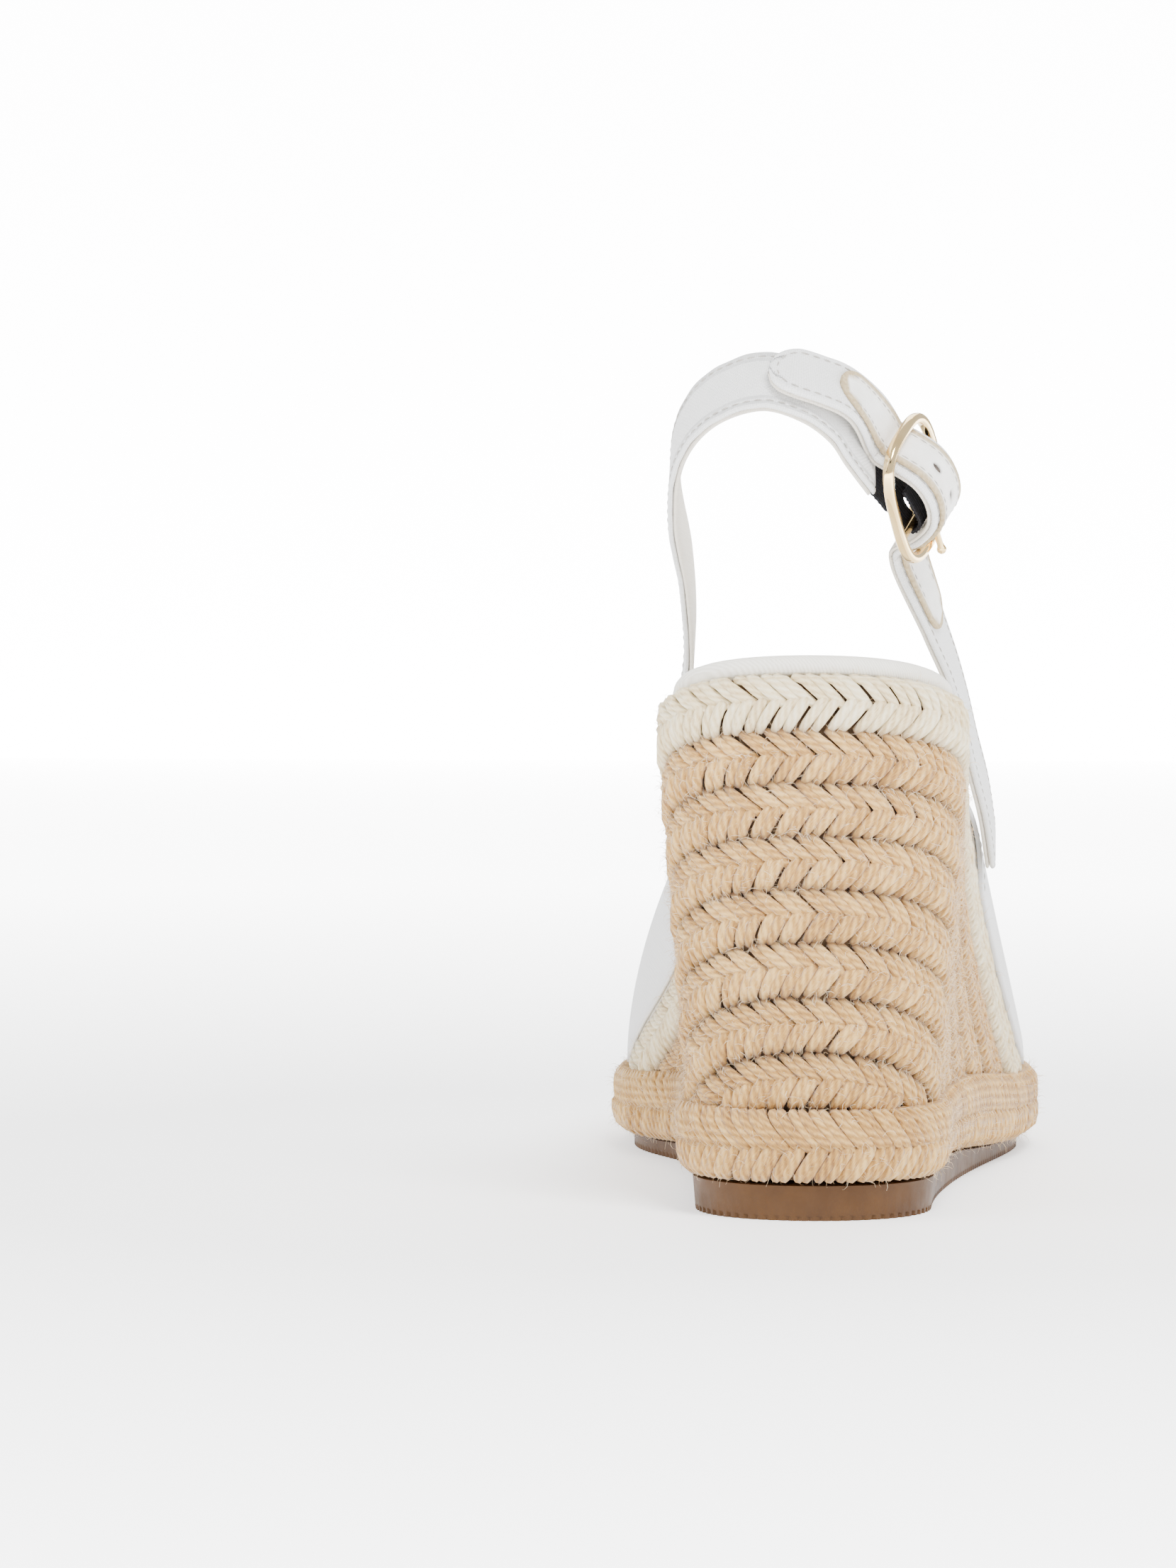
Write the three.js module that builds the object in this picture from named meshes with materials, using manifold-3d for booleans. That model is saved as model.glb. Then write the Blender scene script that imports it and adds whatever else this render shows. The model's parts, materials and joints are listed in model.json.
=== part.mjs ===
// A right-foot slingback wedge sandal with a braided-rope wedge, in millimetres.
// +Z is up, +Y runs from the heel to the toe and +X is the outer, buckle side.
// The origin lies on the ground, under the middle of the sandal's bounding box.
import * as THREE from "three";
import { mergeVertices } from "three/addons/utils/BufferGeometryUtils.js";
import Module from "manifold-3d";

const wasm = await Module();
wasm.setup();

// ---- driving dimensions -------------------------------------------------------------
const GAP = 0.3; // left between neighbouring pieces

// Half outlines of the rope-edged sole in plan: cubic Bezier stretches from the heel's back to the toe.
const LATERAL = [
  [[0, 0], [16.5, 0], [28.8, 11], [28.8, 28]],
  [[28.8, 28], [28.8, 92], [46, 125], [46.8, 162]],
  [[46.8, 162], [46.8, 200], [28, 241], [-6, 241]],
];
const MEDIAL = [
  [[0, 0], [-16.5, 0], [-28.8, 11], [-28.8, 28]],
  [[-28.8, 28], [-28.8, 54], [-29.6, 84], [-32.8, 104]],
  [[-32.8, 104], [-36.6, 127], [-50, 134], [-50, 166]],
  [[-50, 166], [-50, 205], [-34, 241], [-6, 241]],
];
const SOLE_LENGTH = 241;

// Side profile of the wedge's top edge, as [y, z]: heel back to the ball of the foot.
const WEDGE_EDGE = [[0, 112], [62, 99.5], [124, 27], [160, 18.5]];

const RUBBER = { heel: 7.4, ball: 3.6, from: 60, to: 140 }; // outsole thickness, eased from heel to ball
const FOXING = { heel: 23, ball: 18.4, from: 80, to: 155 }; // height of the rope foxing's top edge
const ROPE_DEPTH = 8.1; // from the foxing's face to the back of the rope
const WALL_INSET = 2.6; // the wedge's rope stands back from the foxing by this
const CREAM_WIDTH = 11.3; // the top row of rope, measured down from the wedge's top edge
const JUTE_WIDTH = 10.2; // each row below it
const JUTE_ROWS = 7;
const ROW_END = 2.6; // a row stops where this much of it is left above the foxing
const TOE_SPRING = { from: 195, rise: 3.5 };
const FLARE = 0.0033; // share by which the wedge widens for each millimetre of height
const LEAN = 0.05; // backward lean of the heel for each millimetre of height

const BOARD = 1.5;
const FOAM = 2;
const COVER = 0.6;
const INSOLE_INSET = 6;
const CORE_CLEARANCE = 0.7; // between the wedge's core and the back of the rope

// The vamp's two cloth layers, and the y of its open edges: mid-foot (throat, toe) and at the sole.
const VAMP = { inset: 2.9, cloth: 1, lining: 0.8, throat: 118, side: 92, toe: 208, toeSide: 226 };
const ARCH = { back: 50, front: 24, offCentre: 3 }; // the vamp's height, and how far its crown leans medially
const SLING = { width: 16.5, cloth: 1, lining: 0.8 };
const STRAP = { width: 14.2, tipFrom: 0.9, split: 0.004 }; // beyond tipFrom the free end can be lifted
const PATCH = { width: 10.4, from: 0.27, to: 0.86 }; // shares of the buckle strap's length

// Half sizes of the frame, radii of its wire and bar, and where the bar crosses it.
const BUCKLE = { across: 12.6, along: 14.6, wire: 1.15, bar: 0.9, barAt: -5, corner: 3.2 };
const PRONG = { radius: 0.75, eye: 1.9, eyeWire: 0.65, past: 0.8, tipOut: 2.4 };
const PRONG_SLOT = { width: 3.1, at: -7.9, length: 6.6, out: 1.9, depth: 6.4 };
const ELASTIC = { width: 12, thick: 1 };
const ELASTIC_SLOT = { width: 3.4, at: BUCKLE.barAt, length: 6.4, out: 0, depth: 7 };

// ---- small maths --------------------------------------------------------------------
const V = (x, y, z) => new THREE.Vector3(x, y, z);
const clamp = (v, lo, hi) => Math.min(hi, Math.max(lo, v));
const lerp = (a, b, t) => a + (b - a) * t;

function smooth(from, to, v) {
  const t = clamp((v - from) / (to - from), 0, 1);
  return t * t * (3 - 2 * t);
}

function bezier([a, b, c, d], t) {
  const s = 1 - t;
  const mix = (i) => s * s * s * a[i] + 3 * s * s * t * b[i] + 3 * s * t * t * c[i] + t * t * t * d[i];
  return [mix(0), mix(1)];
}

// Points [x, y] with the unit tangent of a chain of Bezier stretches.
function sampled(stretches, steps) {
  const points = [];
  stretches.forEach((stretch, n) => {
    for (let i = n ? 1 : 0; i <= steps; i++) {
      const t = i / steps;
      const [ax, ay] = bezier(stretch, Math.max(0, t - 1e-4));
      const [bx, by] = bezier(stretch, Math.min(1, t + 1e-4));
      const length = Math.hypot(bx - ax, by - ay);
      const [x, y] = bezier(stretch, t);
      points.push({ x, y, tx: (bx - ax) / length, ty: (by - ay) / length });
    }
  });
  return points;
}

// The outline of one side, moved inwards by inset. Inwards is to the left of a lateral half's travel.
function halfOutline(half, inset, steps = 12) {
  const turn = half === LATERAL ? 1 : -1;
  return sampled(half, steps).map((p) => [p.x - turn * p.ty * inset, p.y + turn * p.tx * inset]);
}

function valueAt(points, key, value, want) {
  for (let i = 1; i < points.length; i++) {
    const [a, b] = [points[i - 1], points[i]];
    if (key <= b[value] || i === points.length - 1) {
      const t = clamp((key - a[value]) / (b[value] - a[value] || 1), 0, 1);
      return lerp(a[want], b[want], t);
    }
  }
  return points[0][want];
}

// ---- heights ------------------------------------------------------------------------
const rubberTop = (y) => lerp(RUBBER.heel, RUBBER.ball, smooth(RUBBER.from, RUBBER.to, y)) + toeLift(y);
const foxingTop = (y) => lerp(FOXING.heel, FOXING.ball, smooth(FOXING.from, FOXING.to, y)) + toeLift(y);

function toeLift(y) {
  const t = clamp((y - TOE_SPRING.from) / (SOLE_LENGTH - TOE_SPRING.from), 0, 1);
  return TOE_SPRING.rise * t * t;
}

// Height at y of the line that runs a set distance below the wedge's top edge.
function lineBelow(distance) {
  const points = sampled([WEDGE_EDGE], 60).map((p) => [p.x + distance * p.ty, p.y - distance * p.tx]);
  return (y) => valueAt(points, y, 0, 1);
}

const wedgeEdge = lineBelow(0);
const topEdge = (y) => (y > WEDGE_EDGE[3][0] ? foxingTop(y) : Math.max(wedgeEdge(y), foxingTop(y)));

// The upright wedge, flared sideways and leaned back as it rises.
function flared(p) {
  const rise = p.z - FOXING.heel;
  const nearHeel = 1 - smooth(0, 160, p.y);
  return V(p.x * (1 + FLARE * rise * nearHeel ** 0.5), p.y - LEAN * rise * nearHeel, p.z);
}

// ---- mesh helpers -------------------------------------------------------------------
// A closed body between two grids of points, front(u, v) and back(u, v); loop joins u = 1 to u = 0.
function between(front, back, across, along, loop = false) {
  const columns = loop ? across : across + 1;
  const positions = [];
  for (const grid of [front, back])
    for (let i = 0; i < columns; i++)
      for (let j = 0; j <= along; j++) positions.push(...grid(i / across, j / along).toArray());
  const at = (side, i, j) => side * columns * (along + 1) + (i % columns) * (along + 1) + j;
  const index = [];
  const quad = (a, b, c, d) => index.push(a, b, c, a, c, d);
  for (let i = 0; i < across; i++) {
    for (let j = 0; j < along; j++) {
      quad(at(0, i, j), at(0, i + 1, j), at(0, i + 1, j + 1), at(0, i, j + 1));
      quad(at(1, i, j), at(1, i, j + 1), at(1, i + 1, j + 1), at(1, i + 1, j));
    }
    quad(at(0, i, 0), at(1, i, 0), at(1, i + 1, 0), at(0, i + 1, 0));
    quad(at(0, i, along), at(0, i + 1, along), at(1, i + 1, along), at(1, i, along));
  }
  if (!loop)
    for (let j = 0; j < along; j++) {
      quad(at(0, 0, j), at(0, 0, j + 1), at(1, 0, j + 1), at(1, 0, j));
      quad(at(0, across, j), at(1, across, j), at(1, across, j + 1), at(0, across, j + 1));
    }
  return facingOut(positions, index);
}

function facingOut(positions, index) {
  let volume = 0;
  const point = (i) => V(...positions.slice(3 * i, 3 * i + 3));
  for (let i = 0; i < index.length; i += 3)
    volume += point(index[i]).dot(point(index[i + 1]).cross(point(index[i + 2])));
  if (volume < 0) index.reverse();
  const geometry = new THREE.BufferGeometry();
  geometry.setAttribute("position", new THREE.Float32BufferAttribute(positions, 3));
  geometry.setIndex(index);
  return geometry;
}

function solid(geometry) {
  const bare = geometry.clone();
  bare.deleteAttribute("normal");
  bare.deleteAttribute("uv");
  const merged = mergeVertices(bare, 1e-4);
  const mesh = { numProp: 3, vertProperties: merged.attributes.position.array };
  return new wasm.Manifold(new wasm.Mesh({ ...mesh, triVerts: new Uint32Array(merged.index.array) }));
}

function geometryOf(body) {
  const mesh = body.getMesh();
  return new THREE.BufferGeometry()
    .setAttribute("position", new THREE.BufferAttribute(new Float32Array(mesh.vertProperties), 3))
    .setIndex(new THREE.BufferAttribute(new Uint32Array(mesh.triVerts), 1));
}

const finishes = {
  linen: { color: "#f1eee8", roughness: 0.95 },
  lining: { color: "#e9e2d4", roughness: 0.95 },
  cover: { color: "#efe8d8", roughness: 0.9 },
  jute: { color: "#c9a678", roughness: 0.95 },
  cream: { color: "#e6dcc4", roughness: 0.95 },
  cork: { color: "#b08a5c", roughness: 0.9 },
  board: { color: "#c9b99b", roughness: 0.9 },
  foam: { color: "#d8d4c8", roughness: 1 },
  gum: { color: "#8a6a3c", roughness: 0.6 },
  leather: { color: "#f3efe6", roughness: 0.6 },
  elastic: { color: "#1d2027", roughness: 0.9 },
  gold: { color: "#e3c690", roughness: 0.2, metalness: 1 },
};

const sandal = new THREE.Group();

function add(name, finish, geometry) {
  const mesh = new THREE.Mesh(geometry, new THREE.MeshStandardMaterial(finishes[finish]));
  mesh.name = name;
  sandal.add(mesh);
}

// ---- sole, wedge and insole -----------------------------------------------------------
// A layer over the whole plan between two heights, each a function of y.
function layer(inset, low, high, { ballInset = inset, stations = 36 } = {}) {
  const sides = [MEDIAL, LATERAL].map((half) => halfOutline(half, inset));
  const ballSides = [MEDIAL, LATERAL].map((half) => halfOutline(half, ballInset));
  const back = sides[0][0][1] + 0.15;
  const front = ballSides[0].at(-1)[1] - 0.15;
  const grid = (height) => (u, v) => {
    const y = lerp(back, front, (1 - Math.cos(Math.PI * v)) / 2);
    const nearBall = smooth(RUBBER.from, RUBBER.to, y);
    const x = [0, 1].map((i) => lerp(valueAt(sides[i], y, 1, 0), valueAt(ballSides[i], y, 1, 0), nearBall));
    return flared(V(lerp(x[0], x[1], u), y, height(y)));
  };
  return between(grid(high), grid(low), 2, stations);
}

// The plan's outline at one inset, as a loop from u = 0 at the heel's back, round by the lateral side.
function planLoop(inset, steps) {
  const lateral = halfOutline(LATERAL, inset, steps);
  const medial = halfOutline(MEDIAL, inset, steps).reverse();
  return [...lateral.slice(0, -1), ...medial.slice(0, -1)];
}

function foxingRow(low, high) {
  const steps = 12;
  const [outer, inner] = [planLoop(0, steps), planLoop(ROPE_DEPTH, steps)];
  const wall = (loop) => (u, v) => {
    const [x, y] = loop[Math.round(u * loop.length) % loop.length];
    return flared(V(x, y, lerp(low(y), high(y), v)));
  };
  return between(wall(outer), wall(inner), outer.length, 1, true);
}

// One rope row round the heel and down both sides, between two distances below the wedge's top edge.
function wedgeRow(near, far) {
  const [upper, lower] = [lineBelow(near), lineBelow(far)];
  const floor = (y) => foxingTop(y) + GAP;
  const top = (y) => upper(y) - (near ? GAP / 2 : 0);
  const bottom = (y) => Math.max(lower(y) + GAP / 2, floor(y));
  const lastY = [...Array(SOLE_LENGTH).keys()].find((y) => upper(y) - floor(y) < ROW_END) ?? SOLE_LENGTH;
  const steps = 14;
  const faces = (half) => [WALL_INSET, ROPE_DEPTH].map((inset) => halfOutline(half, inset, steps));
  const sides = [faces(LATERAL), faces(MEDIAL)];
  const kept = sides.map(([outer]) => outer.filter(([, y]) => y < lastY).length);
  const wall = (depth) => (u, v) => {
    const i = Math.round(u * (kept[0] + kept[1] - 2)) - (kept[1] - 1);
    const [x, y] = sides[i < 0 ? 1 : 0][depth][Math.abs(i)];
    return flared(V(x, y, lerp(bottom(y), top(y), v)));
  };
  return between(wall(0), wall(1), kept[0] + kept[1] - 2, 1);
}

const midFoxing = (y) => (rubberTop(y) + foxingTop(y)) / 2;
add("outsole", "gum", layer(2.5, toeLift, rubberTop, { ballInset: 4.6 }));
add("foxing_rope_lower", "jute", foxingRow((y) => rubberTop(y) + GAP, (y) => midFoxing(y) - GAP / 2));
add("foxing_rope_upper", "jute", foxingRow((y) => midFoxing(y) + GAP / 2, foxingTop));
for (let row = 0; row < JUTE_ROWS; row++) {
  const near = CREAM_WIDTH + row * JUTE_WIDTH;
  add(`jute_braid_${row + 1}`, "jute", wedgeRow(near, near + JUTE_WIDTH));
}
add("cream_braid", "cream", wedgeRow(0, CREAM_WIDTH));
const coreLow = (y) => rubberTop(y) + GAP;
add("wedge_core", "cork", layer(ROPE_DEPTH + CORE_CLEARANCE, coreLow, (y) => topEdge(y) - 0.1));

const boardLow = (y) => topEdge(y) + GAP;
const boardHigh = (y) => boardLow(y) + BOARD;
const foamHigh = (y) => boardHigh(y) + GAP + FOAM;
const coverHigh = (y) => foamHigh(y) + GAP + COVER;
add("insole_board", "board", layer(INSOLE_INSET + COVER + GAP, boardLow, boardHigh));
add("insole_foam", "foam", layer(INSOLE_INSET + COVER + GAP, (y) => boardHigh(y) + GAP, foamHigh));

// The cover is a cap: it lies on the foam and is turned down over the edges of foam and board.
function insoleCover() {
  const outside = solid(layer(INSOLE_INSET, boardLow, coverHigh));
  const hollow = solid(layer(INSOLE_INSET + COVER, (y) => boardLow(y) - 1, (y) => foamHigh(y) + GAP));
  return geometryOf(outside.subtract(hollow));
}
add("insole_cover", "cover", insoleCover());

// ---- vamp -----------------------------------------------------------------------------
const vampSides = [MEDIAL, LATERAL].map((half) => halfOutline(half, VAMP.inset));
const vampHeight = (y) => lerp(ARCH.back, ARCH.front, smooth(VAMP.throat - 20, VAMP.toeSide, y));

// A point of the vamp's outer face: u runs over the foot from medial to lateral, v from throat to toe.
function vampFace(u, v) {
  const middle = Math.pow(Math.sin(Math.PI * u), 1.4);
  const y = lerp(lerp(VAMP.side, VAMP.throat, middle), lerp(VAMP.toeSide, VAMP.toe, middle), v);
  const base = topEdge(y) + GAP;
  const [left, right] = vampSides.map((side) => flared(V(valueAt(side, y, 1, 0), y, base)).x);
  const angle = Math.PI * (1 - u);
  const fullness = u < 0.5 ? 0.5 : 0.85; // the medial wall stands up more steeply
  const reach = Math.sign(Math.cos(angle)) * Math.pow(Math.abs(Math.cos(angle)), fullness);
  const x = (left + right) / 2 + (reach * (right - left)) / 2 - ARCH.offCentre * Math.sin(angle) ** 3;
  return V(x, y, base + vampHeight(y) * Math.pow(Math.sin(angle), 0.95));
}

// The vamp's face moved inwards along its own normal; at the feet of the arch it stays level.
function vampAt(depth) {
  return (u, v) => {
    const step = 0.01;
    const across = vampFace(Math.min(1, u + step), v).sub(vampFace(Math.max(0, u - step), v));
    const along = vampFace(u, Math.min(1, v + step)).sub(vampFace(u, Math.max(0, v - step)));
    const normal = across.cross(along).normalize();
    if (normal.z < 0) normal.negate();
    if (u < 0.5 / 24 || u > 1 - 0.5 / 24) normal.setZ(0).normalize();
    return vampFace(u, v).addScaledVector(normal, -depth);
  };
}

add("vamp", "linen", between(vampAt(0), vampAt(VAMP.cloth), 22, 10));
const liningDepth = VAMP.cloth + GAP;
add("vamp_lining", "lining", between(vampAt(liningDepth), vampAt(liningDepth + VAMP.lining), 22, 10));

// ---- straps ---------------------------------------------------------------------------
// A flat strip along a smooth centre line. Each station is [x, y, z, ax, ay, az]: a point and the
// direction across the strip there. Layers stand on one another along the strip's outer normal.
function strip(stations, width, low, high, { steps = 40, from = 0, to = 1, round = false } = {}) {
  const { at, length } = frameOn(stations);
  const face = (depth) => (u, v) => {
    const { point, across, outward } = at(lerp(from, to, v));
    const left = (1 - v) * (to - from) * length;
    const half = round && left < width / 2 ? Math.sqrt(Math.max(0.02, 1 - (1 - (2 * left) / width) ** 2)) : 1;
    return point.addScaledVector(across, (u - 0.5) * width * half).addScaledVector(outward, depth);
  };
  return between(face(high), face(low), 2, steps);
}

// The point of a strip's centre line at a parameter, with the directions across and out of the strip.
function frameOn(stations) {
  const curve = (first) => {
    const points = stations.map((station) => V(...station.slice(first, first + 3)));
    return new THREE.CatmullRomCurve3(points, false, "centripetal");
  };
  const [centre, side] = [curve(0), curve(3)];
  const at = (t) => {
    const tangent = centre.getTangent(t);
    const across = side.getPoint(t);
    across.addScaledVector(tangent, -across.dot(tangent)).normalize();
    return { point: centre.getPoint(t), across, outward: tangent.clone().cross(across).normalize() };
  };
  return { at, length: centre.getLength() };
}

// From the medial side of the vamp, round the back of the heel, to its short end before the buckle.
const SLING_PATH = [
  [-34.2, 98, 74.5, 0, 0.72, 0.69],
  [-32.6, 86, 87.5, 0, 0.72, 0.69],
  [-30.2, 72, 102, 0, 0.72, 0.69],
  [-28.2, 59, 117, 0, 0.72, 0.69],
  [-28.4, 46, 132, 0, 0.72, 0.69],
  [-30.2, 33, 147, 0, 0.72, 0.69],
  [-27.6, 19.5, 160, 0, 0.72, 0.69],
  [-19.6, 9.5, 168, 0, 0.72, 0.69],
  [-9, 5, 170.8, 0, 0.72, 0.69],
  [-0.5, 5.6, 168.2, 0.03, 0.74, 0.67],
  [5.8, 9.8, 163.6, 0.08, 0.78, 0.62],
  [9.2, 14.8, 158.6, 0.1, 0.82, 0.56],
  [11.3, 19.8, 153.4, 0.12, 0.84, 0.52],
];

// The buckle's own frame: across the strap, along it (upwards) and outwards.
const AT = V(20.9, 27, 148.8);
const ALONG = V(-0.2, -0.55, 0.81).normalize();
const TOWARDS_TOE = V(0.33, 0.72, 0.58);
const ACROSS = TOWARDS_TOE.clone().addScaledVector(ALONG, -TOWARDS_TOE.dot(ALONG)).normalize();
const OUT = ACROSS.clone().cross(ALONG).normalize();
const inBuckle = (across, along, out) =>
  AT.clone().addScaledVector(ACROSS, across).addScaledVector(ALONG, along).addScaledVector(OUT, out);
const threaded = (along, out) => [...inBuckle(0, along, out).toArray(), ...ACROSS.clone().negate().toArray()];

// A station of the buckle strap's free end, lying on the sling at its parameter t.
function onSling(t, out, up) {
  const { point, across, outward } = frameOn(SLING_PATH).at(t);
  point.addScaledVector(outward, out).addScaledVector(across, up);
  return [...point.toArray(), ...across.negate().toArray()];
}

// From the lateral side of the vamp, up through the buckle and on to its free end over the sling.
const BUCKLE_STRAP = [
  [35.2, 97, 72, 0, -0.72, -0.69],
  [33.6, 86, 83, 0, -0.72, -0.69],
  [31.2, 76, 93, 0, -0.72, -0.69],
  [29.1, 66.5, 102.5, 0, -0.72, -0.69],
  [26.3, 56, 112.5, 0, -0.72, -0.69],
  [22.8, 46.5, 122, -0.1, -0.76, -0.64],
  threaded(-14.8, -6.8),
  threaded(-11.4, -6),
  threaded(-8, 0.2),
  threaded(-4.2, 3.9),
  threaded(0.4, 4.6),
  threaded(4.6, 3),
  threaded(7.6, -0.4),
  threaded(10.6, -4.7),
  threaded(13.8, -5.8),
  onSling(0.82, 2, 3),
  onSling(0.77, 1.3, 2),
  onSling(0.72, 1.1, 1),
  onSling(0.67, 1.1, 0.5),
];

// How far each layer's two faces stand out from the buckle strap's centre line.
const layers = { lining: [0, 0.8], cloth: [1.1, 2.1], leather: [2.4, 3.3] };
const strapLayer = (kind, from, to, options = {}) =>
  strip(BUCKLE_STRAP, options.width ?? STRAP.width, ...layers[kind], { from, to, ...options });

// A slot square to the buckle, cut where the prong passes through.
function slotted(geometry, { width, at, length, out, depth }) {
  const box = new THREE.BoxGeometry(width, length, depth);
  box.applyMatrix4(new THREE.Matrix4().makeBasis(ACROSS, ALONG, OUT).setPosition(inBuckle(0, at, out)));
  return geometryOf(solid(geometry).subtract(solid(box)));
}

const liningTop = -SLING.cloth - GAP;
add("sling_strap", "linen", strip(SLING_PATH, SLING.width, -SLING.cloth, 0, { steps: 36 }));
const slingLining = strip(SLING_PATH, SLING.width, liningTop - SLING.lining, liningTop, { steps: 36 });
add("sling_lining", "lining", slingLining);
const [tipSide, ownSide] = [STRAP.tipFrom + STRAP.split, STRAP.tipFrom - STRAP.split];
const patch = strapLayer("leather", PATCH.from, PATCH.to, { steps: 50, width: PATCH.width, round: true });
add("buckle_strap", "linen", slotted(strapLayer("cloth", 0, ownSide, { steps: 60 }), PRONG_SLOT));
add("buckle_strap_lining", "lining", slotted(strapLayer("lining", 0, ownSide, { steps: 60 }), PRONG_SLOT));
add("strap_tip", "linen", strapLayer("cloth", tipSide, 1, { steps: 14, round: true }));
add("strap_tip_lining", "lining", strapLayer("lining", tipSide, 1, { steps: 14, round: true }));
add("leather_patch", "leather", slotted(patch, PRONG_SLOT));

// ---- elastic and buckle ---------------------------------------------------------------
const bar = BUCKLE.barAt;
const looped = (along, out) => [...inBuckle(0, along, out).toArray(), ...ACROSS.toArray()];
const ELASTIC_PATH = [
  [12.9, 23, 150.4, ...ACROSS.toArray()],
  looped(0, -4.2),
  looped(bar, -2),
  looped(bar - 2, 0),
  looped(bar, 2),
  looped(bar + 4, 1.4),
  looped(bar + 8, 0.2),
];

const loop = strip(ELASTIC_PATH, ELASTIC.width, -ELASTIC.thick / 2, ELASTIC.thick / 2, { steps: 34 });
add("elastic", "elastic", slotted(loop, ELASTIC_SLOT));

// A closed tube of round section along a flat loop of points; axis is square to the loop's plane.
function wireLoop(pointAt, axis, radius, steps, sides) {
  const positions = [];
  const index = [];
  for (let i = 0; i < steps; i++) {
    const centre = pointAt(i / steps);
    const tangent = pointAt((i + 0.01) / steps).sub(pointAt((i - 0.01) / steps)).normalize();
    const away = tangent.clone().cross(axis).normalize();
    for (let k = 0; k < sides; k++) {
      const turn = (2 * Math.PI * k) / sides;
      const point = centre.clone().addScaledVector(away, radius * Math.cos(turn));
      positions.push(...point.addScaledVector(axis, radius * Math.sin(turn)).toArray());
      const [here, next] = [i * sides, ((i + 1) % steps) * sides];
      const other = (k + 1) % sides;
      index.push(here + k, next + k, next + other, here + k, next + other, here + other);
    }
  }
  return solid(facingOut(positions, index));
}

function rod(from, to, radius) {
  const pin = new THREE.CylinderGeometry(radius, radius, from.distanceTo(to), 10);
  const turn = new THREE.Quaternion().setFromUnitVectors(V(0, 1, 0), to.clone().sub(from).normalize());
  pin.applyQuaternion(turn);
  pin.translate(...from.clone().add(to).multiplyScalar(0.5).toArray());
  return solid(pin);
}

function frameOutline(part) {
  const angle = 2 * Math.PI * part;
  const bend = (value) => Math.sign(value) * Math.pow(Math.abs(value), 2 / BUCKLE.corner);
  const inset = BUCKLE.wire;
  const across = (BUCKLE.across - inset) * bend(Math.cos(angle));
  return inBuckle(across, (BUCKLE.along - inset) * bend(Math.sin(angle)), 0);
}

function buckleFrame() {
  const reach = BUCKLE.across - BUCKLE.wire / 2;
  const cross = rod(inBuckle(-reach, bar, 0), inBuckle(reach, bar, 0), BUCKLE.bar);
  return geometryOf(wireLoop(frameOutline, OUT, BUCKLE.wire, 40, 8).add(cross));
}

// An eye round the bar and an arm that reaches over the frame's lower side.
function prong() {
  const { radius, eye, eyeWire, past, tipOut } = PRONG;
  const around = (part) => {
    const turn = 2 * Math.PI * part;
    return inBuckle(0, bar + eye * Math.cos(turn), eye * Math.sin(turn));
  };
  const arm = rod(inBuckle(0, bar, eye), inBuckle(0, -BUCKLE.along - past, tipOut), radius);
  return geometryOf(wireLoop(around, ACROSS, eyeWire, 16, 8).add(arm));
}
add("buckle_frame", "gold", buckleFrame());
add("prong", "gold", prong());

// ---- the sandal stands with its box centred over the origin ----------------------------
const box = new THREE.Box3().setFromObject(sandal);
const middle = box.getCenter(new THREE.Vector3());
sandal.position.set(-middle.x, -middle.y, -box.min.z);

export default sandal;
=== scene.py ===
"""The looks of a right-foot slingback wedge sandal: braided rope, white cloth, leather and a gold buckle."""

import json
import math
import random

import bmesh
import bpy
import numpy as np
from mathutils import Matrix, Vector

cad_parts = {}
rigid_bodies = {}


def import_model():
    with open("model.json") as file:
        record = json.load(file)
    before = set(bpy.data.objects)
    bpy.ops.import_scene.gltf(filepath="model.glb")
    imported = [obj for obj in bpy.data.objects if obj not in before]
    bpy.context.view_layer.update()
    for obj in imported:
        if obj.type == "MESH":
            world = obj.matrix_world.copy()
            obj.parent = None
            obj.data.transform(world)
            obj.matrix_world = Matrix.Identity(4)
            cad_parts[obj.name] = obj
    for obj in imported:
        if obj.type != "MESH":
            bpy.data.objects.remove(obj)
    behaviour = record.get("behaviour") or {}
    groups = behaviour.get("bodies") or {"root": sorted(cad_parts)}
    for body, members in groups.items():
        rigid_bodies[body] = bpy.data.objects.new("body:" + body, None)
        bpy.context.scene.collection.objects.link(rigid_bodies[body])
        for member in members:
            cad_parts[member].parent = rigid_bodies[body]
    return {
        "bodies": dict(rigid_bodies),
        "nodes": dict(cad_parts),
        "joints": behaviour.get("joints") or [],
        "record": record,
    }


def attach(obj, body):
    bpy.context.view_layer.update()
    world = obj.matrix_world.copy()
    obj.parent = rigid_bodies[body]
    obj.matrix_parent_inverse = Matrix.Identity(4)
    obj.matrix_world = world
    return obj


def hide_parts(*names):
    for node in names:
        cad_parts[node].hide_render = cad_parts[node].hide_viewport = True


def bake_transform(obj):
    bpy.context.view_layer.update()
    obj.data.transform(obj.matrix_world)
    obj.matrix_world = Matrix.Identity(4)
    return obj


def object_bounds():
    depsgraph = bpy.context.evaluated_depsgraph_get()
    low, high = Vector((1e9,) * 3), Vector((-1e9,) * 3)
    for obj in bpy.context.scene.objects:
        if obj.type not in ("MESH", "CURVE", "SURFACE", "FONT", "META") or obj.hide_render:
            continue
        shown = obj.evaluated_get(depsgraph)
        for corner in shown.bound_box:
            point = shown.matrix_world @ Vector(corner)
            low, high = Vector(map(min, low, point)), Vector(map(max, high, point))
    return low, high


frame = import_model()
cad_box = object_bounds()

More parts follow.
